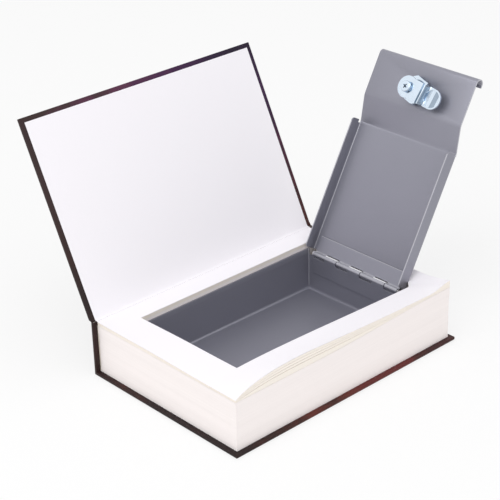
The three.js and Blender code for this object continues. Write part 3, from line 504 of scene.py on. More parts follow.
def eased_out(x, y):
    """How far a point is moved outwards, because the cut-out's fore edge is cut wide and a little aslant."""
    share = share_of(y, HOLE_SPINE, HOLE_FORE) * (1 - share_of(y, HOLE_FORE, PAGES_FORE))
    return (CUT_EASE + CUT_SLANT * share_of(x, HOLE_TAIL, HOLE_HEAD)) * share


def make_leaf(name, layer, last_y):
    """A thin leaf: a fine grid with the cut-out taken away, lifted by painted weights and given its thickness."""
    bpy.ops.object.select_all(action="DESELECT")
    base = PAGES_TOP + LEAF_AIR + layer * LEAF_PITCH
    middle = (0, (PAGES_FORE + last_y) / 2, base)
    bpy.ops.mesh.primitive_grid_add(x_subdivisions=LEAF_COLUMNS, y_subdivisions=LEAF_ROWS, size=1,
                                    location=middle)
    leaf = take_up(name, (2 * PAGES_HALF, last_y - PAGES_FORE, 1))
    open_piece(leaf)
    for axis, value in (("x", HOLE_TAIL), ("x", HOLE_HEAD), ("y", HOLE_FORE), ("y", HOLE_SPINE)):
        cut_at(axis, value)
    cut_all((HOLE_HEAD - CORNER_CUT, HOLE_FORE, 0), (1, -1, 0))
    drop_faces(leaf, lambda c, n: HOLE_TAIL < c.x < HOLE_HEAD and HOLE_FORE < c.y < HOLE_SPINE
               and c.x - HOLE_HEAD + CORNER_CUT < c.y - HOLE_FORE)
    close_piece()

    def rise_of(layer, x, y):
        return leaf_rise(layer, x, min(y, PAGES_SPINE)) if layer else 0

    def lifted(x, y, z):
        rise = rise_of(layer, x, y)
        over_spine = share_of(y, PAGES_SPINE, FLYLEAF_END)
        return fullness(x, y) + rise + over_spine * (HINGE_Z - FLYLEAF_DROP - base - rise)

    def drawn_in(x, y, z):
        return leaf_rise(layer, x, y) ** 2 / DRAW_IN if y < HOLE_FORE - 0.1 * MM else 0

    def sheaf(x, y, z):
        if layer == LEAF_COUNT - 1:
            return LEAF
        opened = rise_of(layer + 1, x, y) - rise_of(layer, x, y)
        return max(LEAF, LEAF_PITCH + opened - SHEAF_GAP - SHEAF_SLACK * min(opened, SLACK_RUN))

    paint_weights(leaf, "sheaf", sheaf, SHEAF_MOST)
    move_by(leaf, lifted, "Z", RISE_MOST)
    move_by(leaf, lambda x, y, z: -eased_out(x, y), "Y", -EASE_MOST)
    move_by(leaf, drawn_in, "Y", DRAW_MOST)
    finish_with(leaf, "SOLIDIFY", thickness=SHEAF_MOST, offset=1, vertex_group="sheaf")
    leaf.vertex_groups.clear()
    return leaf


# The loose leaves are the block's own paper, painted a warmer cream than it that stands in for light bounced between
# the leaves.
leaf_paper_bounce_tinted = make_grained("leaf_paper_bounce_tinted", (0.94, 0.875, 0.80), 0.85, [
    (500, 5, 0.04), (1.0, 3, 0.12, (6, 6, 2200))], 0.00004)
for layer in range(LEAF_COUNT - 1):
    leaf = make_leaf(f"lifted_leaf_{layer + 1}", layer, PAGES_SPINE)
    dress(leaf, leaf_paper_bounce_tinted, "book", "page_paper", f"loose_leaf_{layer + 1}")
free_endpaper = make_leaf("free_endpaper", LEAF_COUNT - 1, FLYLEAF_END)
dress(free_endpaper, white_paper, "book", "endpaper", "front_flyleaf")


# The pages' back is lined with glued paper, and the box sits on a thin double-sided pad. Neither
# shows once the book is made up.
UNEVEN = [(400, 3, 0.12)]
paint_node("spine_lining", make_grained("lining_paper", (0.80, 0.74, 0.64), 0.9, UNEVEN))
paint_node("box_adhesive_pad", make_grained("pad_foam", (0.66, 0.66, 0.62), 0.8, UNEVEN))


# The box is folded from millimetre steel sheet and powder coated grey. Two tabs are lanced inwards from
# the tail wall to carry the lid, and a slot below them takes the turned cam.
STEEL = 1 * MM
BOX_TAIL, BOX_HEAD = -87.6 * MM, 95.8 * MM
BOX_FORE, BOX_SPINE = -48.3 * MM, 60.2 * MM
BOX_LOW, RIM = 3.25 * MM, 41.7 * MM
FOLD, FLOOR_FOLD = 1.3 * MM, 3.4 * MM
HEAD_WALL_TOP = 35.85 * MM
MID_Y = 5.95 * MM
TAB_TOP = 32.95 * MM
TAB_DEPTH = 5 * MM
TAB_HALF = 6 * MM
TAB_SPREAD = 36 * MM
SLOT_FORE, SLOT_SPINE = -12.4 * MM, 15.65 * MM
SLOT_LOW, SLOT_TOP = 23.85 * MM, 26.65 * MM
NARROW = 0.8 * MM


def part_faces(piece, test, place, normal):
    """Cuts only the faces that pass the test, along a plane."""
    pick_faces(piece, test)
    bpy.ops.mesh.bisect(plane_co=place, plane_no=normal)


def at_tab(y):
    return abs(abs(y - MID_Y) - TAB_SPREAD) < TAB_HALF


def holds_tab(c, d):
    """Whether an edge is one that a tab hangs from."""
    return near(c.x, BOX_TAIL) and near(c.z, TAB_TOP) and abs(d.y) > 0.9 and at_tab(c.y)


def is_narrow(piece, face):
    """Whether a face is a strip of a bend or of an eased edge."""
    corners = [piece.data.vertices[i].co for i in face.vertices]
    longest = max((a - b).length for a, b in zip(corners, corners[1:] + corners[:1]))
    return face.area / longest < NARROW


def mark_faces(piece, name, value, test, narrow=False):
    """Writes a value on the faces, or only on the narrow ones, whose middle and normal pass the test."""
    mark = piece.data.attributes.get(name) or piece.data.attributes.new(name, "FLOAT", "CORNER")
    for face in piece.data.polygons:
        if test(face.center, face.normal) and (not narrow or is_narrow(piece, face)):
            for corner in face.loop_indices:
                mark.data[corner].value = value


def mix_by_mark(nodes, links, name, first, second):
    """A colour that goes from the first to the second as the mark of that name goes from 0 to 1, and the mark."""
    mark = nodes.new("ShaderNodeAttribute")
    mark.attribute_name = name
    mix = nodes.new("ShaderNodeMix")
    mix.data_type = "RGBA"
    set_inputs(mix, {"A": (*first, 1), "B": (*second, 1)})
    links.new(mark.outputs["Fac"], mix.inputs["Factor"])
    return mix.outputs["Result"], mark.outputs["Fac"]


PAINT_METAL = 0.66


def make_grey_paint(name, colour, highlight_or_bare):
    """Satin powder coat with a faint orange peel. A mark paints highlights on it, lighter and less metallic, up to
    the bright colour of steel at a mark of 1, where wear takes the paint off.
    """
    material, nodes, links, shader = new_material(name, colour, 0.45)
    flake = add_grain(nodes, links, 2600, 3, 0.12)
    cloud = add_grain(nodes, links, 18, 3, 0.06)
    highlighted, mark = mix_by_mark(nodes, links, "wear_and_highlight", colour, highlight_or_bare)
    duller = add_math(nodes, "MULTIPLY_ADD", None, -PAINT_METAL, PAINT_METAL)
    links.new(mark, duller.inputs[0])
    links.new(duller.outputs[0], shader.inputs["Metallic"])
    shade_with(nodes, links, shader, highlighted, flake, cloud)
    peel = add_grain(nodes, links, 900, 2, 0.1)
    add_bump(nodes, links, shader, peel.outputs["Height"], 0.00006)
    return material


# How strongly the painted highlights on bends and edges lighten the paint.
EDGE_HIGHLIGHT = 0.3
grey_paint = make_grey_paint("grey_powder_coat", (0.295, 0.295, 0.345), (0.95, 0.95, 0.97))
safe_box = new_block("safe_box", (BOX_TAIL, BOX_FORE, BOX_LOW), (BOX_HEAD, BOX_SPINE, RIM))
open_piece(safe_box)
pick_faces(safe_box, lambda c, n: n.z > 0.9)
bpy.ops.mesh.delete(type="ONLY_FACE")
bend_edges(safe_box, lambda c, d: near(c.z, BOX_LOW), FLOOR_FOLD, 5)
bend_edges(safe_box, lambda c, d: abs(d.z) > 0.9, FOLD, 4)
for y in (BOX_FORE + FOLD + 0.1 * MM, BOX_SPINE - FOLD - 0.1 * MM):
    cut_at("y", y)
cut_at("z", HEAD_WALL_TOP)
drop_faces(safe_box, lambda c, n: n.x > 0.9 and c.z > HEAD_WALL_TOP and c.y > BOX_FORE + FOLD
           and c.y < BOX_SPINE - FOLD)
for level in (SLOT_LOW, SLOT_TOP, TAB_TOP, TAB_TOP + TAB_DEPTH):
    part_faces(safe_box, lambda c, n: n.x < -0.9, (0, 0, level), (0, 0, 1))
for y in (MID_Y - TAB_SPREAD - TAB_HALF, MID_Y - TAB_SPREAD + TAB_HALF, SLOT_FORE, SLOT_SPINE,
          MID_Y + TAB_SPREAD - TAB_HALF, MID_Y + TAB_SPREAD + TAB_HALF):
    part_faces(safe_box, lambda c, n: n.x < -0.9, (0, y, 0), (0, 1, 0))
drop_faces(safe_box, lambda c, n: n.x < -0.9 and SLOT_FORE < c.y < SLOT_SPINE and SLOT_LOW < c.z < SLOT_TOP)
drop_faces(safe_box, lambda c, n: n.x < -0.9 and TAB_TOP < c.z < TAB_TOP + TAB_DEPTH and at_tab(c.y))
pick_edges(safe_box, holds_tab)
pull(TAB_DEPTH + STEEL, 0, 0)
bend_edges(safe_box, holds_tab, FOLD, 3)
close_piece()
give_wall(safe_box, STEEL)
ease_edges(safe_box, 0.14 * MM)
# Painted highlights: the narrow faces of the box's bends and eased edges are painted lighter, where they would catch
# the light.
mark_faces(safe_box, "wear_and_highlight", EDGE_HIGHLIGHT, lambda c, n: c.z > BOX_LOW + FLOOR_FOLD or 0.95 < n.z < 0.999, narrow=True)
dress(safe_box, grey_paint, "book", "box_paint", "steel_box")


# The hinge is two strips rolled into knuckles round a steel pin, spot welded and painted with the
# box. The lid's strip has the odd knuckles and the box's strip the even ones.
HINGE_X, HINGE_AXIS_Z = 95.6 * MM, 38.25 * MM
KNUCKLE = 2.1 * MM
HINGE_HALF = 47.5 * MM
KNUCKLES = 7
FIT = 0.3 * MM
EDGE_LINE = 0.5 * MM
ROLL_ANGLE, ROLL_STEPS = 318, 16
LID_STRIP, LID_NOTCH = 16.3 * MM, 3.2 * MM
BOX_STRIP, BOX_NOTCH, BOX_ROLL = 17 * MM, 2.7 * MM, 1.35
# The strength of the painted highlight on the knuckles, and the reach of the bright patch on the box knuckles' tops.
ROLL_HIGHLIGHT = 0.2
BARE_LIT_UP, BARE_LIT_BACK = 1 * MM, 0.6 * MM
knuckle_length = 2 * HINGE_HALF / KNUCKLES


def knuckle_span(i):
    start = MID_Y - HINGE_HALF + i * knuckle_length
    return start + FIT / 2, start + knuckle_length - FIT / 2


def in_knuckles(y, first):
    """Whether a place along the hinge lies in one of the knuckles from the first, every second one."""
    return any(knuckle_span(i)[0] < y < knuckle_span(i)[1] for i in range(first, KNUCKLES, 2))


def face_outwards(weld=False):
    """Turns all faces of the open piece outwards, and can first join the points that meet."""
    bpy.ops.mesh.select_all(action="SELECT")
    if weld:
        bpy.ops.mesh.remove_doubles(threshold=0.01 * MM)
    bpy.ops.mesh.normals_make_consistent(inside=False)


def make_hinge_strip(name, first, width, notch, roll=1.0):
    """A strip from its free edge to the pin, cut away beside the other strip's knuckles and rolled round the pin."""
    bpy.ops.object.select_all(action="DESELECT")
    mid = KNUCKLE - STEEL / 2
    bpy.ops.mesh.primitive_plane_add(size=1, location=(-width / 2, MID_Y, mid))
    strip = take_up(name, (width, 2 * HINGE_HALF - FIT, 1))
    open_piece(strip)
    cut_at("x", -notch)
    cut_at("x", EDGE_LINE - width)
    for i in range(KNUCKLES):
        for y in knuckle_span(i):
            cut_at("y", y)
    drop_faces(strip, lambda c, n: c.x > -notch and not in_knuckles(c.y, first))
    pick_edges(strip, lambda c, d: near(c.x, 0) and abs(d.y) > 0.9)
    bpy.ops.mesh.spin(steps=ROLL_STEPS, angle=math.radians(-ROLL_ANGLE), center=(0, 0, 0), axis=(0, 1, 0))
    face_outwards(weld=True)
    pick_faces(strip, lambda c, n: c.x > 0.01 * MM or c.z < mid - 0.1 * MM)
    bpy.ops.transform.resize(value=(roll, 1, roll), center_override=(0, 0, 0))
    close_piece()
    give_wall(strip, STEEL, 0)
    ease_edges(strip, 0.1 * MM, 1)
    return strip


def set_in_place(piece, place):
    """Moves a piece drawn in its own flat place to where it is mounted, and leaves its object at the origin."""
    piece.matrix_world = place @ piece.matrix_world
    pick_piece(piece)
    bpy.ops.object.transform_apply()


def turned(degrees, axis):
    return Matrix.Rotation(math.radians(degrees), 4, axis)


LID_TURN = 119.5
AXIS_PLACE = Matrix.Translation((HINGE_X, 0, HINGE_AXIS_Z))
LID_PLACE = AXIS_PLACE @ turned(LID_TURN, "Y")


def on_roll(c, n):
    """Whether a face lies on the upper side of the rolled knuckles."""
    return n.z > 0.25 and math.hypot(c.x - HINGE_X, c.z - HINGE_AXIS_Z) < 1.4 * KNUCKLE


lid_leaf = make_hinge_strip("lid_leaf", 0, LID_STRIP, LID_NOTCH)
# Painted highlight: a thin lighter line along the strip's free edge.
mark_faces(lid_leaf, "wear_and_highlight", EDGE_HIGHLIGHT, lambda c, n: c.x < EDGE_LINE - LID_STRIP)
set_in_place(lid_leaf, LID_PLACE)
# Painted highlight on the upper side of the lid strip's knuckles.
mark_faces(lid_leaf, "wear_and_highlight", ROLL_HIGHLIGHT, on_roll)
dress(lid_leaf, grey_paint, "box_lid", "lid_paint", "lid_hinge_leaf")
box_leaf = make_hinge_strip("box_leaf", 1, BOX_STRIP, BOX_NOTCH, BOX_ROLL)
set_in_place(box_leaf, AXIS_PLACE @ turned(-90, "Y"))
# Painted highlight on the upper side of the box strip's knuckles.
mark_faces(box_leaf, "wear_and_highlight", ROLL_HIGHLIGHT, on_roll)
# The box knuckles' tops, seen through the lid strip's notches, are painted bright steel: partly wear where the lid
# strip takes the paint off, partly a painted highlight for the light seen through the slots.
mark_faces(box_leaf, "wear_and_highlight", 1.0, lambda c, n: c.z > HINGE_AXIS_Z + BARE_LIT_UP and c.x > HINGE_X - BARE_LIT_BACK)
dress(box_leaf, grey_paint, "book", "box_paint", "box_hinge_leaf")


# The pin is drawn steel wire with its ends headed over, left bright.
def new_bar(name, radius, low, high, sides=48):
    """A round bar along Z between two heights, its object at the origin."""
    bpy.ops.object.select_all(action="DESELECT")
    bpy.ops.mesh.primitive_cylinder_add(vertices=sides, radius=radius, depth=high - low,
                                        location=(0, 0, (low + high) / 2))
    return take_up(name)


def scale_ring(factor, height):
    """Widens or narrows what is picked about the Z axis."""
    bpy.ops.transform.resize(value=(factor, factor, 1), center_override=(0, 0, height))


DRAWN = [(300, 3, 0.12)]
wire_steel = make_grained("wire_steel", (0.95, 0.95, 0.95), 0.4, DRAWN, metallic=1.0)
PIN, PIN_HALF = 0.95 * MM, HINGE_HALF + 0.2 * MM
HEAD_WIDTH, HEAD_TAPER = 1.6, 0.6
HEAD_SIDE, HEAD_DOME = 0.35 * MM, 0.25 * MM
hinge_rod = new_bar("hinge_rod", PIN, -PIN_HALF, PIN_HALF, 24)
open_piece(hinge_rod)
for end in (-1, 1):
    pick_faces(hinge_rod, lambda c, n: n.z * end > 0.9)
    pull(0, 0, 0)
    scale_ring(HEAD_WIDTH, end * PIN_HALF)
    pull(0, 0, end * HEAD_SIDE)
    pull(0, 0, end * HEAD_DOME)
    scale_ring(HEAD_TAPER, end * PIN_HALF)
close_piece()
set_in_place(hinge_rod, Matrix.Translation((HINGE_X, MID_Y, HINGE_AXIS_Z)) @ turned(90, "X"))
dress(hinge_rod, wire_steel, "book", "steel_wire", "hinge_pin")


# The lid is one folded sheet: a long panel with a flange down each side, a step down to the lock panel
# so that a finger fits under it, and a free edge rolled back on itself. It is drawn shut and flat.
LID_FORE, LID_SPINE = -46.7 * MM, 58.6 * MM
PANEL = 2.9 * MM
PANEL_START, STEP_START, STEP_END = -3.7 * MM, -119.4 * MM, -140.9 * MM
STEP_DROP = 7.4 * MM
ROLL_X = -177.2 * MM
ROLL = 3.7 * MM
ROLL_RETURN = 2.5 * MM
FLANGE = 11.85 * MM
FLANGE_CORNER = 3 * MM
RELIEF = 1.6 * MM
RELIEF_START = STEP_START + 1 * MM
FLANGE_START = RELIEF_START + RELIEF
FLANGE_BEND, STEP_BEND = 1.0 * MM, 1.6 * MM
# The span round the step's middle where no highlight is painted.
NO_HIGHLIGHT_SPAN = 14 * MM
step_middle = (STEP_START + STEP_END) / 2


def pick_points(piece, test):
    pick_where(piece, "VERT", lambda point: test(point.co))


inset_lid = new_block("inset_lid", (STEP_START, LID_FORE + STEEL / 2, PANEL - STEEL),
                      (PANEL_START, LID_SPINE - STEEL / 2, PANEL))
open_piece(inset_lid)
drop_faces(inset_lid, lambda c, n: n.z < 0.9)
pick_edges(inset_lid, lambda c, d: near(c.x, STEP_START))
pull(STEP_END - STEP_START, 0, -STEP_DROP)
pull(ROLL_X - STEP_END, 0, 0)
bpy.ops.mesh.spin(steps=14, angle=math.radians(-180), axis=(0, 1, 0),
                  center=(ROLL_X, 0, PANEL - STEP_DROP + ROLL))
pick_edges(inset_lid, lambda c, d: near(c.x, ROLL_X) and near(c.z, PANEL) and abs(d.y) > 0.9)
pull(ROLL_RETURN, 0, 0)
for x in (RELIEF_START, FLANGE_START):
    part_faces(inset_lid, lambda c, n: c.x > STEP_START, (x, 0, 0), (1, 0, 0))
for side in (-1, 1):
    edge_y = LID_FORE + STEEL / 2 if side < 0 else LID_SPINE - STEEL / 2
    pick_edges(inset_lid, lambda c, d: near(c.y, edge_y) and c.x > FLANGE_START)
    pull(0, 0, -FLANGE)
    bend_edges(inset_lid, lambda c, d: near(c.y, edge_y) and near(c.z, PANEL) and c.x > FLANGE_START,
               FLANGE_BEND, 4)
part_faces(inset_lid, lambda c, n: abs(n.y) > 0.9 and c.z < PANEL - RELIEF,
           (0, 0, PANEL - 2 * RELIEF), (0, 0, 1))
pick_edges(inset_lid, lambda c, d: abs(d.z) > 0.9 and near(c.x, FLANGE_START) and c.z < PANEL - 2 * RELIEF)
pull(STEP_START - FLANGE_START, 0, 0)
bend_edges(inset_lid, lambda c, d: abs(d.y) > 0.9 and (near(c.x, STEP_START) or near(c.x, STEP_END)),
           STEP_BEND, 4)
pick_points(inset_lid, lambda p: near(p.z, PANEL - FLANGE)
            and (near(p.x, STEP_START) or near(p.x, PANEL_START)))
bpy.ops.mesh.bevel(offset=FLANGE_CORNER, segments=5, affect="VERTICES")
face_outwards(weld=True)
close_piece()
give_wall(inset_lid, STEEL, 0)

LOCK_X = -156.9 * MM
LOCK_PANEL_INNER = -5.0 * MM
LOCK_HOLE, LOCK_FLATS = 8.2 * MM, 14.4 * MM
lock_hole = new_bar("lock_hole", LOCK_HOLE, -9 * MM, 0)
cut_with(lock_hole, new_block("flats", (-2 * LOCK_HOLE, -LOCK_FLATS / 2, -10 * MM),
                              (2 * LOCK_HOLE, LOCK_FLATS / 2, MM)), "INTERSECT")
set_in_place(lock_hole, Matrix.Translation((LOCK_X, MID_Y, 0)))
cut_with(inset_lid, lock_hole)
ease_edges(inset_lid, 0.13 * MM)
# Painted highlights along the lid's bends and eased edges, left off round the soft step.
mark_faces(inset_lid, "wear_and_highlight", EDGE_HIGHLIGHT, lambda c, n: abs(n.y) > 0.3 or not near(c.x, step_middle, NO_HIGHLIGHT_SPAN),
           narrow=True)
# Painted highlight: a thin lighter line along the top of the rolled free edge.
mark_faces(inset_lid, "wear_and_highlight", EDGE_HIGHLIGHT, lambda c, n: c.x < ROLL_X and n.x < -0.85)
set_in_place(inset_lid, LID_PLACE)
dress(inset_lid, grey_paint, "box_lid", "lid_paint", "lid_panel")


# The cam lock's body is die-cast zinc: a round face outside the lid and a threaded barrel with two
# flats through it, with two small posts at the end that stop the plug after a quarter turn.
LOCK_PLACE = LID_PLACE @ Matrix.Translation((LOCK_X, MID_Y, LOCK_PANEL_INNER))
CAM_REST = 8
ROTOR_PLACE = LOCK_PLACE @ turned(CAM_REST, "Z")
HEAD_TOP, HEAD_BASE = 3.6 * MM, 1.3 * MM
HEAD_RADIUS = 9.5 * MM
BARREL = 7.9 * MM
BARREL_END = 12 * MM
BORE = 5.8 * MM
THREAD_PITCH = 1.0 * MM
THREAD_DEPTH = 0.45 * MM
FACE_ROUND, FACE_RECESS = 0.7 * MM, 6.9 * MM
RECESS_DEPTH, PLUG_DEPTH = 1.5 * MM, 1.0 * MM
NECK = 1.6 * MM
END_TAPER = 0.94
BARREL_FLAT = 6.9 * MM
POST_LOW, POST_HIGH = (6.3 * MM, -0.8 * MM, -13.9 * MM), (7.4 * MM, 0.8 * MM, -11.5 * MM)


def make_zinc(name, colour, roughness, waviness):
    """Bright zinc plate with a faint blue cast and slightly uneven gloss. A mark paints shade and reflections on it
    as a darker blue-grey.
    """
    material, nodes, links, shader = new_material(name, colour, roughness, 1.0)
    cloud = add_grain(nodes, links, 160, 3, 0.16)
    shaded_zinc, _ = mix_by_mark(nodes, links, "painted_shade", colour, (0.07, 0.13, 0.21))
    shade_with(nodes, links, shader, shaded_zinc, cloud)
    wave = add_grain(nodes, links, 260, 2, 0.1)
    add_bump(nodes, links, shader, wave.outputs["Height"], waviness)
    return material


zinc = make_zinc("bright_zinc", (0.72, 0.82, 0.93), 0.2, 0.0001)
cast_zinc = make_zinc("cast_zinc", (0.70, 0.74, 0.78), 0.3, 0.0002)
lock_barrel = new_bar("lock_barrel", HEAD_RADIUS, HEAD_BASE, HEAD_TOP, 64)
open_piece(lock_barrel)
bend_edges(lock_barrel, lambda c, d: near(c.z, HEAD_TOP), FACE_ROUND, 4)
pick_faces(lock_barrel, lambda c, n: n.z > 0.99)
inset(HEAD_RADIUS - FACE_ROUND - FACE_RECESS)
pull(0, 0, -RECESS_DEPTH)
inset(FACE_RECESS - BORE)
pull(0, 0, -PLUG_DEPTH)
pick_faces(lock_barrel, lambda c, n: n.z < -0.99)
inset(HEAD_RADIUS - BARREL)
pull(0, 0, -NECK)
height = HEAD_BASE - NECK
ratio = (BARREL - THREAD_DEPTH) / BARREL
while height > -BARREL_END + 1.5 * THREAD_PITCH:
    for factor in (ratio, 1 / ratio):
        pull(0, 0, -THREAD_PITCH / 2)
        height -= THREAD_PITCH / 2
        scale_ring(factor, height)
pull(0, 0, -BARREL_END - height)
scale_ring(END_TAPER, -BARREL_END)
inset(END_TAPER * BARREL - BORE)
bpy.ops.mesh.delete(type="FACE")
drop_faces(lock_barrel, lambda c, n: n.z > 0.99 and near(c.z, HEAD_TOP - RECESS_DEPTH - PLUG_DEPTH)
           and c.xy.length < 1 * MM)
bpy.ops.mesh.select_mode(type="EDGE")
bpy.ops.mesh.select_all(action="DESELECT")
bpy.ops.mesh.select_non_manifold()
bpy.ops.mesh.bridge_edge_loops()
face_outwards()
close_piece()
for side in (-1, 1):
    first, second = sorted((side * BARREL_FLAT, side * 12 * MM))
    cut_with(lock_barrel, new_block("flat_cut", (-12 * MM, first, -14 * MM), (12 * MM, second, HEAD_BASE)))
for angle in (-58, 164):
    post = new_block("post", POST_LOW, POST_HIGH)
    set_in_place(post, turned(angle, "Z"))
    cut_with(lock_barrel, post, "UNION")
# Painted shade: the threaded barrel's sides are marked darker, as shade in the threads.
mark_faces(lock_barrel, "painted_shade", 0.85, lambda c, n: c.z < HEAD_BASE - NECK and abs(n.z) < 0.95)
set_in_place(lock_barrel, LOCK_PLACE)
dress(lock_barrel, cast_zinc, "box_lid", "zinc", "lock_body")


# The toothed washer is stamped spring steel, its teeth twisted so that they bite the paint; here the teeth are drawn
# flat.
TOOTH_COUNT = 12
WASHER, TOOTH_ROOT = 11 * MM, 10 * MM
WASHER_LOW, WASHER_TOP = -1.1 * MM, -0.3 * MM


def at_root(point):
    """Whether a point of the rim lies between two teeth."""
    return round(math.degrees(math.atan2(point.y, point.x)) / (180 / TOOTH_COUNT)) % 2 == 0


star_washer = new_bar("star_washer", WASHER, WASHER_LOW, WASHER_TOP, 2 * TOOTH_COUNT)
open_piece(star_washer)
pick_points(star_washer, at_root)
scale_ring(TOOTH_ROOT / WASHER, (WASHER_LOW + WASHER_TOP) / 2)
close_piece()
cut_with(star_washer, new_bar("washer_bore", LOCK_HOLE, -2 * MM, MM))
ease_edges(star_washer, 0.1 * MM, 1)
set_in_place(star_washer, LOCK_PLACE)
dress(star_washer, zinc, "box_lid", "zinc", "lock_tooth_washer")


# The nut is a hexagon with its corners turned off at both ends, screwed up against the washer.
NUT_ACROSS = 22 * MM
NUT_TURN = 18
NUT_TOP, NUT_LOW = -1.4 * MM, -5.4 * MM
NUT_CHAMFER, MIDDLE_WIDER = 11.5 * MM, 1.12
nut_middle = (NUT_LOW + NUT_TOP) / 2
nut_corner = NUT_ACROSS / math.sqrt(3)
hex_nut = new_bar("hex_nut", nut_corner, NUT_LOW, NUT_TOP, 6)
turning = new_bar("turning", nut_corner + 0.01 * MM, NUT_LOW, NUT_TOP, 96)
open_piece(turning)
for end in (NUT_LOW, NUT_TOP):
    pick_faces(turning, lambda c, n: abs(n.z) > 0.9 and near(c.z, end))
    scale_ring(NUT_CHAMFER / nut_corner, end)
cut_at("z", nut_middle)
pick_edges(turning, lambda c, d: near(c.z, nut_middle))
scale_ring(MIDDLE_WIDER, nut_middle)
close_piece()
cut_with(hex_nut, turning, "INTERSECT")
cut_with(hex_nut, new_bar("nut_bore", LOCK_HOLE, NUT_LOW - MM, NUT_TOP + MM))
ease_edges(hex_nut, 0.15 * MM)
# Painted shade: the nut's flats are marked darker than its ends.
mark_faces(hex_nut, "painted_shade", 0.55, lambda c, n: abs(n.z) < 0.3)
set_in_place(hex_nut, LOCK_PLACE @ turned(NUT_TURN, "Z"))
dress(hex_nut, zinc, "box_lid", "zinc", "lock_nut")


# The cam is stamped from thick strip: a round hub on the plug's square, a double bend that brings it
# nearer the lid, and a round tip that turns into the slot in the box. Its tip is lightly dished.
CAM = 1.6 * MM
HUB = 9.3 * MM
CAM_HALF = 8.5 * MM
CAM_BEND, CAM_CRANK, CAM_FOLD = 14.6 * MM, 1.4 * MM, 1.1 * MM
SQUARE = 3.8 * MM
CAM_MID = -15.0 * MM
CAM_DROP = 7 * MM
CAM_REACH = 30.9 * MM
TIP_CENTRE = CAM_REACH - CAM_HALF
DISH, DISH_DEPTH = 7.3 * MM, 0.3 * MM
# Where the painted reflection bands on the tip start and end.
ARM_END, HIGHLIGHT_START, HIGHLIGHT_END, SHADE_END = -7 * MM, -2.6 * MM, 0.8 * MM, 5.4 * MM
bend_end = CAM_BEND + CAM_CRANK
latch_cam = new_block("latch_cam", (-HUB - MM, -HUB - MM, CAM_MID - MM), (CAM_BEND, HUB + MM, CAM_MID))
open_piece(latch_cam)
drop_faces(latch_cam, lambda c, n: n.z < 0.9)
pick_edges(latch_cam, lambda c, d: near(c.x, CAM_BEND))
pull(CAM_CRANK, 0, CAM_DROP)
pull(CAM_REACH + MM - bend_end, 0, 0)
bend_edges(latch_cam, lambda c, d: abs(d.y) > 0.9 and (near(c.x, CAM_BEND) or near(c.x, bend_end)), CAM_FOLD, 4)
face_outwards()
close_piece()
give_wall(latch_cam, CAM, 0)
outline = new_bar("hub_outline", HUB, CAM_MID - 3 * MM, CAM_MID + 12 * MM, 72)
arm = new_block("arm_outline", (0, -CAM_HALF, CAM_MID - 3.1 * MM), (TIP_CENTRE, CAM_HALF, CAM_MID + 12.1 * MM))
tip = new_bar("tip_outline", CAM_HALF, CAM_MID - 3.2 * MM, CAM_MID + 12.2 * MM, 72)
set_in_place(tip, Matrix.Translation((TIP_CENTRE, 0, 0)))
cut_with(outline, arm, "UNION")
cut_with(outline, tip, "UNION")
cut_with(latch_cam, outline, "INTERSECT")
cut_with(latch_cam, new_block("square", (-SQUARE, -SQUARE, -20 * MM), (SQUARE, SQUARE, 0)))
tip_face = CAM_MID + CAM_DROP - CAM / 2
dish = new_bar("dish", DISH, tip_face - 2 * MM, tip_face + DISH_DEPTH, 48)
set_in_place(dish, Matrix.Translation((TIP_CENTRE, 0, 0)))
cut_with(latch_cam, dish)
ease_edges(latch_cam, 0.22 * MM, 2, 40)
open_piece(latch_cam)
for x in (ARM_END, HIGHLIGHT_START, HIGHLIGHT_END, SHADE_END):
    cut_at("x", TIP_CENTRE + x)
close_piece()
# Painted shade: a dark line before the first bend, the lower arm and the crank's face are marked darker.
for start, end, value in ((CAM_BEND - 1 * MM, CAM_BEND, 0.9), (bend_end, TIP_CENTRE + ARM_END, 0.5)):
    mark_faces(latch_cam, "painted_shade", value, lambda c, n: start < c.x < end and n.z < 0)
mark_faces(latch_cam, "painted_shade", 0.6, lambda c, n: n.x > 0.9 and near(c.x, bend_end, 2 * MM))
# Painted reflection on the dished tip: darker bands on either side of a bright band across it.
for start, end, value in ((-DISH, HIGHLIGHT_START, 0.2), (HIGHLIGHT_END, SHADE_END, 0.55)):
    mark_faces(latch_cam, "painted_shade", value, lambda c, n: start < c.x - TIP_CENTRE < end and n.z < -0.9
               and near(c.z, tip_face + DISH_DEPTH, 0.1 * MM))
set_in_place(latch_cam, ROTOR_PLACE @ turned(-90, "Z"))
dress(latch_cam, zinc, "lock_plug", "zinc", "cam")


# A pan-head screw with a cross recess holds the cam on the plug, over a split spring washer.
SCREW_SEAT, SCREW_TOP = -16.9 * MM, -18.7 * MM
SCREW_HEAD, SCREW_SHANK = 4.6 * MM, 1.6 * MM
SHANK_LENGTH, SCREW_ROUND = 4.6 * MM, 0.8 * MM
CROSS_HALF, CROSS_THIN = 2.7 * MM, 0.6 * MM
cross_low = SCREW_TOP + 1.2 * MM
cross_screw = new_bar("cross_screw", SCREW_HEAD, SCREW_TOP, SCREW_SEAT, 48)
open_piece(cross_screw)
bend_edges(cross_screw, lambda c, d: near(c.z, SCREW_TOP), SCREW_ROUND, 5)
pick_faces(cross_screw, lambda c, n: n.z > 0.99)
inset(SCREW_HEAD - SCREW_SHANK)
pull(0, 0, SHANK_LENGTH)
close_piece()
for quarter in (0, 90):
    blade = new_block("blade", (-CROSS_HALF, -CROSS_THIN, SCREW_TOP - MM), (CROSS_HALF, CROSS_THIN, cross_low))
    open_piece(blade)
    pick_faces(blade, lambda c, n: n.z > 0.9)
    bpy.ops.transform.resize(value=(0.45, 0.7, 1), center_override=(0, 0, cross_low))
    close_piece()
    set_in_place(blade, turned(quarter + 20, "Z"))
    cut_with(cross_screw, blade)
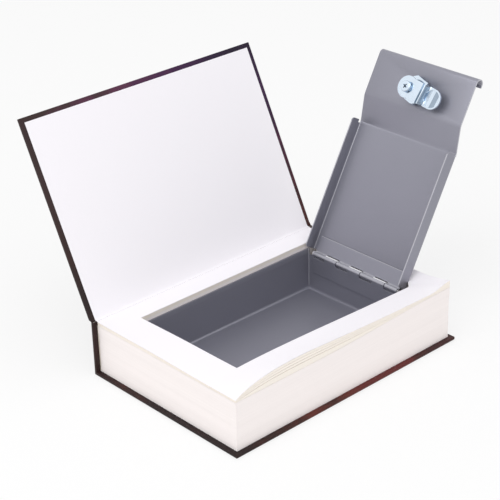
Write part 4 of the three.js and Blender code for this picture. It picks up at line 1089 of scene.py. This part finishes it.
# Painted shade on the screw head's sides, darkest in the cross recess.
mark_faces(cross_screw, "painted_shade", 0.4, lambda c, n: abs(n.z) < 0.8)
mark_faces(cross_screw, "painted_shade", 0.95, lambda c, n: c.z > SCREW_TOP + 0.1 * MM and c.xy.length < 3 * MM)
set_in_place(cross_screw, ROTOR_PLACE)
dress(cross_screw, zinc, "lock_plug", "zinc", "cam_screw")
for node in ("stop_washer", "cam_spring_washer"):
    paint_node(node, zinc)


# The plug is brass with a plated face that shows the keyway outside the lid. Inside, brass wafers slide
# in its slots on tiny wire springs.
brass = make_grained("brass", (0.72, 0.52, 0.22), 0.3, DRAWN, metallic=1.0)
paint_node("lock_plug", cast_zinc)
for number in range(1, 6):
    paint_node(f"wafer_{number}", brass)
    paint_node(f"wafer_spring_{number}", wire_steel)


# The front cover is made like the back: a board in printed paper with its edges turned in, and the
# endpaper pasted over them. It leans back a little past upright. It is drawn shut and flat.
COVER_TURN = 116.35
COVER_REACH = 164.9 * MM
COVER_START = 1.5 * MM
COVER_LOW, COVER_HIGH = 0.25 * MM, 2.75 * MM
COVER_PLACE = Matrix.Translation((0, HINGE_Y, HINGE_Z)) @ turned(-COVER_TURN, "X")
front_case = new_block("front_case", (-HALF_LENGTH, -COVER_REACH, COVER_LOW),
                       (HALF_LENGTH, -COVER_START, COVER_HIGH))
open_piece(front_case)
bend_edges(front_case, lambda c, d: not near(c.y, -COVER_START), EDGE_ROUND, 3)
pick_faces(front_case, lambda c, n: n.z < -FLAT)
inset(TURN_IN)
bpy.ops.mesh.delete(type="FACE")
drop_faces(front_case, lambda c, n: n.y > FLAT)
close_piece()
give_wall(front_case, WRAP)
set_in_place(front_case, COVER_PLACE)
dress(front_case, printed_paper, "front_cover", "printed_wrap", "front_cover_wrap")


# At the joint the printed paper bends between the spine and the cover with no board in it, and the endpaper is
# folded over it on the inside.
def move_edge(piece, y, z, to_y, to_z):
    """Moves the long edge at one place of the section to another."""
    pick_edges(piece, lambda c, d: abs(d.x) > 0.9 and near(c.y, y, 0.01 * MM) and near(c.z, z, 0.01 * MM))
    bpy.ops.transform.translate(value=(0, to_y - y, to_z - z))


def make_joint_strip(name, half_length, section, steps):
    """A strip along the spine whose four long edges lie at the section's corners, divided so that it can bend."""
    (y0, z0), (y1, z1), (y2, z2), (y3, z3) = section
    strip = new_block(name, (-half_length, y0, z0), (half_length, y1, z0 + 0.1 * MM))
    open_piece(strip)
    move_edge(strip, y1, z0 + 0.1 * MM, y2, z2)
    move_edge(strip, y0, z0 + 0.1 * MM, y3, z3)
    move_edge(strip, y1, z0, y1, z1)
    start = Vector((0, (y0 + y1) / 2, (z0 + z1) / 2))
    end = Vector((0, (y2 + y3) / 2, (z2 + z3) / 2))
    for i in range(1, steps):
        cut_all(start.lerp(end, i / steps), end - start)
    close_piece()
    return strip, start, end


def on_cover(y, z):
    """A place of the shut cover's section, on the open cover."""
    place = COVER_PLACE @ Vector((0, y, z))
    return place.y, place.z


JOINT_INNER, JOINT_LOW = 81.9 * MM, SPINE_TOP - 0.01 * MM
FLYLEAF_TOP = 47.6 * MM
FOLD_REACH, FOLD_DEPTH = 0.3 * MM, 0.15 * MM
joint_section = ((JOINT_INNER, JOINT_LOW), (SPINE, JOINT_LOW),
                 on_cover(-COVER_START, COVER_HIGH), on_cover(-COVER_START, COVER_LOW))
joint_cloth, joint_start, joint_end = make_joint_strip("joint_cloth", HALF_LENGTH, joint_section, 8)
joint_cloth.data.materials.append(printed_paper)
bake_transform(joint_cloth)
fold_section = ((FLYLEAF_END - 0.2 * MM, FLYLEAF_TOP), (FLYLEAF_END, FLYLEAF_TOP - LEAF),
                on_cover(-FOLD_REACH, FOLD_DEPTH), on_cover(-FOLD_REACH, 0))
endpaper_fold, fold_start, fold_end = make_joint_strip("endpaper_fold", PAGES_HALF, fold_section, 6)
endpaper_fold.data.materials.append(white_paper)
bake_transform(endpaper_fold)


# The floor and the backdrop are one plain pale sheet, and the light is a soft even tent with its
# main lamp above and to the left.
FLOOR_WIDTH, FLOOR_DROP, FLOOR_GLOW = 8, 0.3 * MM, 0.72
TENT = 0.8


def seen_plainly(nodes, links):
    """One for what the camera sees itself, in a mirror or through glass, and zero for what lights the object."""
    ray = nodes.new("ShaderNodeLightPath")
    seen = ray.outputs["Is Camera Ray"]
    for kind in ("Is Glossy Ray", "Is Transmission Ray"):
        either = add_math(nodes, "MAXIMUM")
        links.new(seen, either.inputs[0])
        links.new(ray.outputs[kind], either.inputs[1])
        seen = either.outputs[0]
    return seen


def make_floor():
    """A pale sheet that is seen nearer to white than it is lit, and keeps the object's shadow."""
    material, nodes, links, shader = new_material("studio_white", (0.9, 0.9, 0.9), 0.9)
    glow = nodes.new("ShaderNodeEmission")
    share = add_math(nodes, "MULTIPLY", None, FLOOR_GLOW)
    mix = nodes.new("ShaderNodeMixShader")
    links.new(seen_plainly(nodes, links), share.inputs[0])
    links.new(share.outputs[0], mix.inputs["Fac"])
    links.new(shader.outputs[0], mix.inputs[1])
    links.new(glow.outputs[0], mix.inputs[2])
    links.new(mix.outputs[0], nodes["Material Output"].inputs["Surface"])
    return material


bpy.ops.object.select_all(action="DESELECT")
bpy.ops.mesh.primitive_plane_add(size=FLOOR_WIDTH, location=(0, 0, -FLOOR_DROP))
floor = bpy.context.object
floor.name = "floor"
floor.data.materials.append(make_floor())


def light_world(nodes, links):
    """A white tent all round, a little dimmer where it lights the object than where it is seen."""
    tent = nodes["Background"]
    seen = nodes.new("ShaderNodeBackground")
    for light, strength in ((tent, TENT), (seen, 1.0)):
        set_inputs(light, {"Color": (1, 1, 1, 1), "Strength": strength})
    mix = nodes.new("ShaderNodeMixShader")
    links.new(seen_plainly(nodes, links), mix.inputs["Fac"])
    links.new(tent.outputs[0], mix.inputs[1])
    links.new(seen.outputs[0], mix.inputs[2])
    links.new(mix.outputs[0], nodes["World Output"].inputs["Surface"])


world = bpy.data.worlds.new("studio")
bpy.context.scene.world = world
world.use_nodes = True
light_world(world.node_tree.nodes, world.node_tree.links)

LAMP_WIDTH = 1.2
for name, place, power in (("main_lamp", (-0.9, -0.2, 1.5), 9.5), ("fill_lamp", (-0.2, -1.4, 0.7), 1.5)):
    bpy.ops.object.light_add(type="AREA", location=place)
    lamp = bpy.context.object
    lamp.name = name
    lamp.data.size = LAMP_WIDTH
    lamp.data.energy = power
    lamp.rotation_euler = (-Vector(place)).to_track_quat("-Z", "Y").to_euler()

bpy.context.scene.view_settings.view_transform = "Standard"
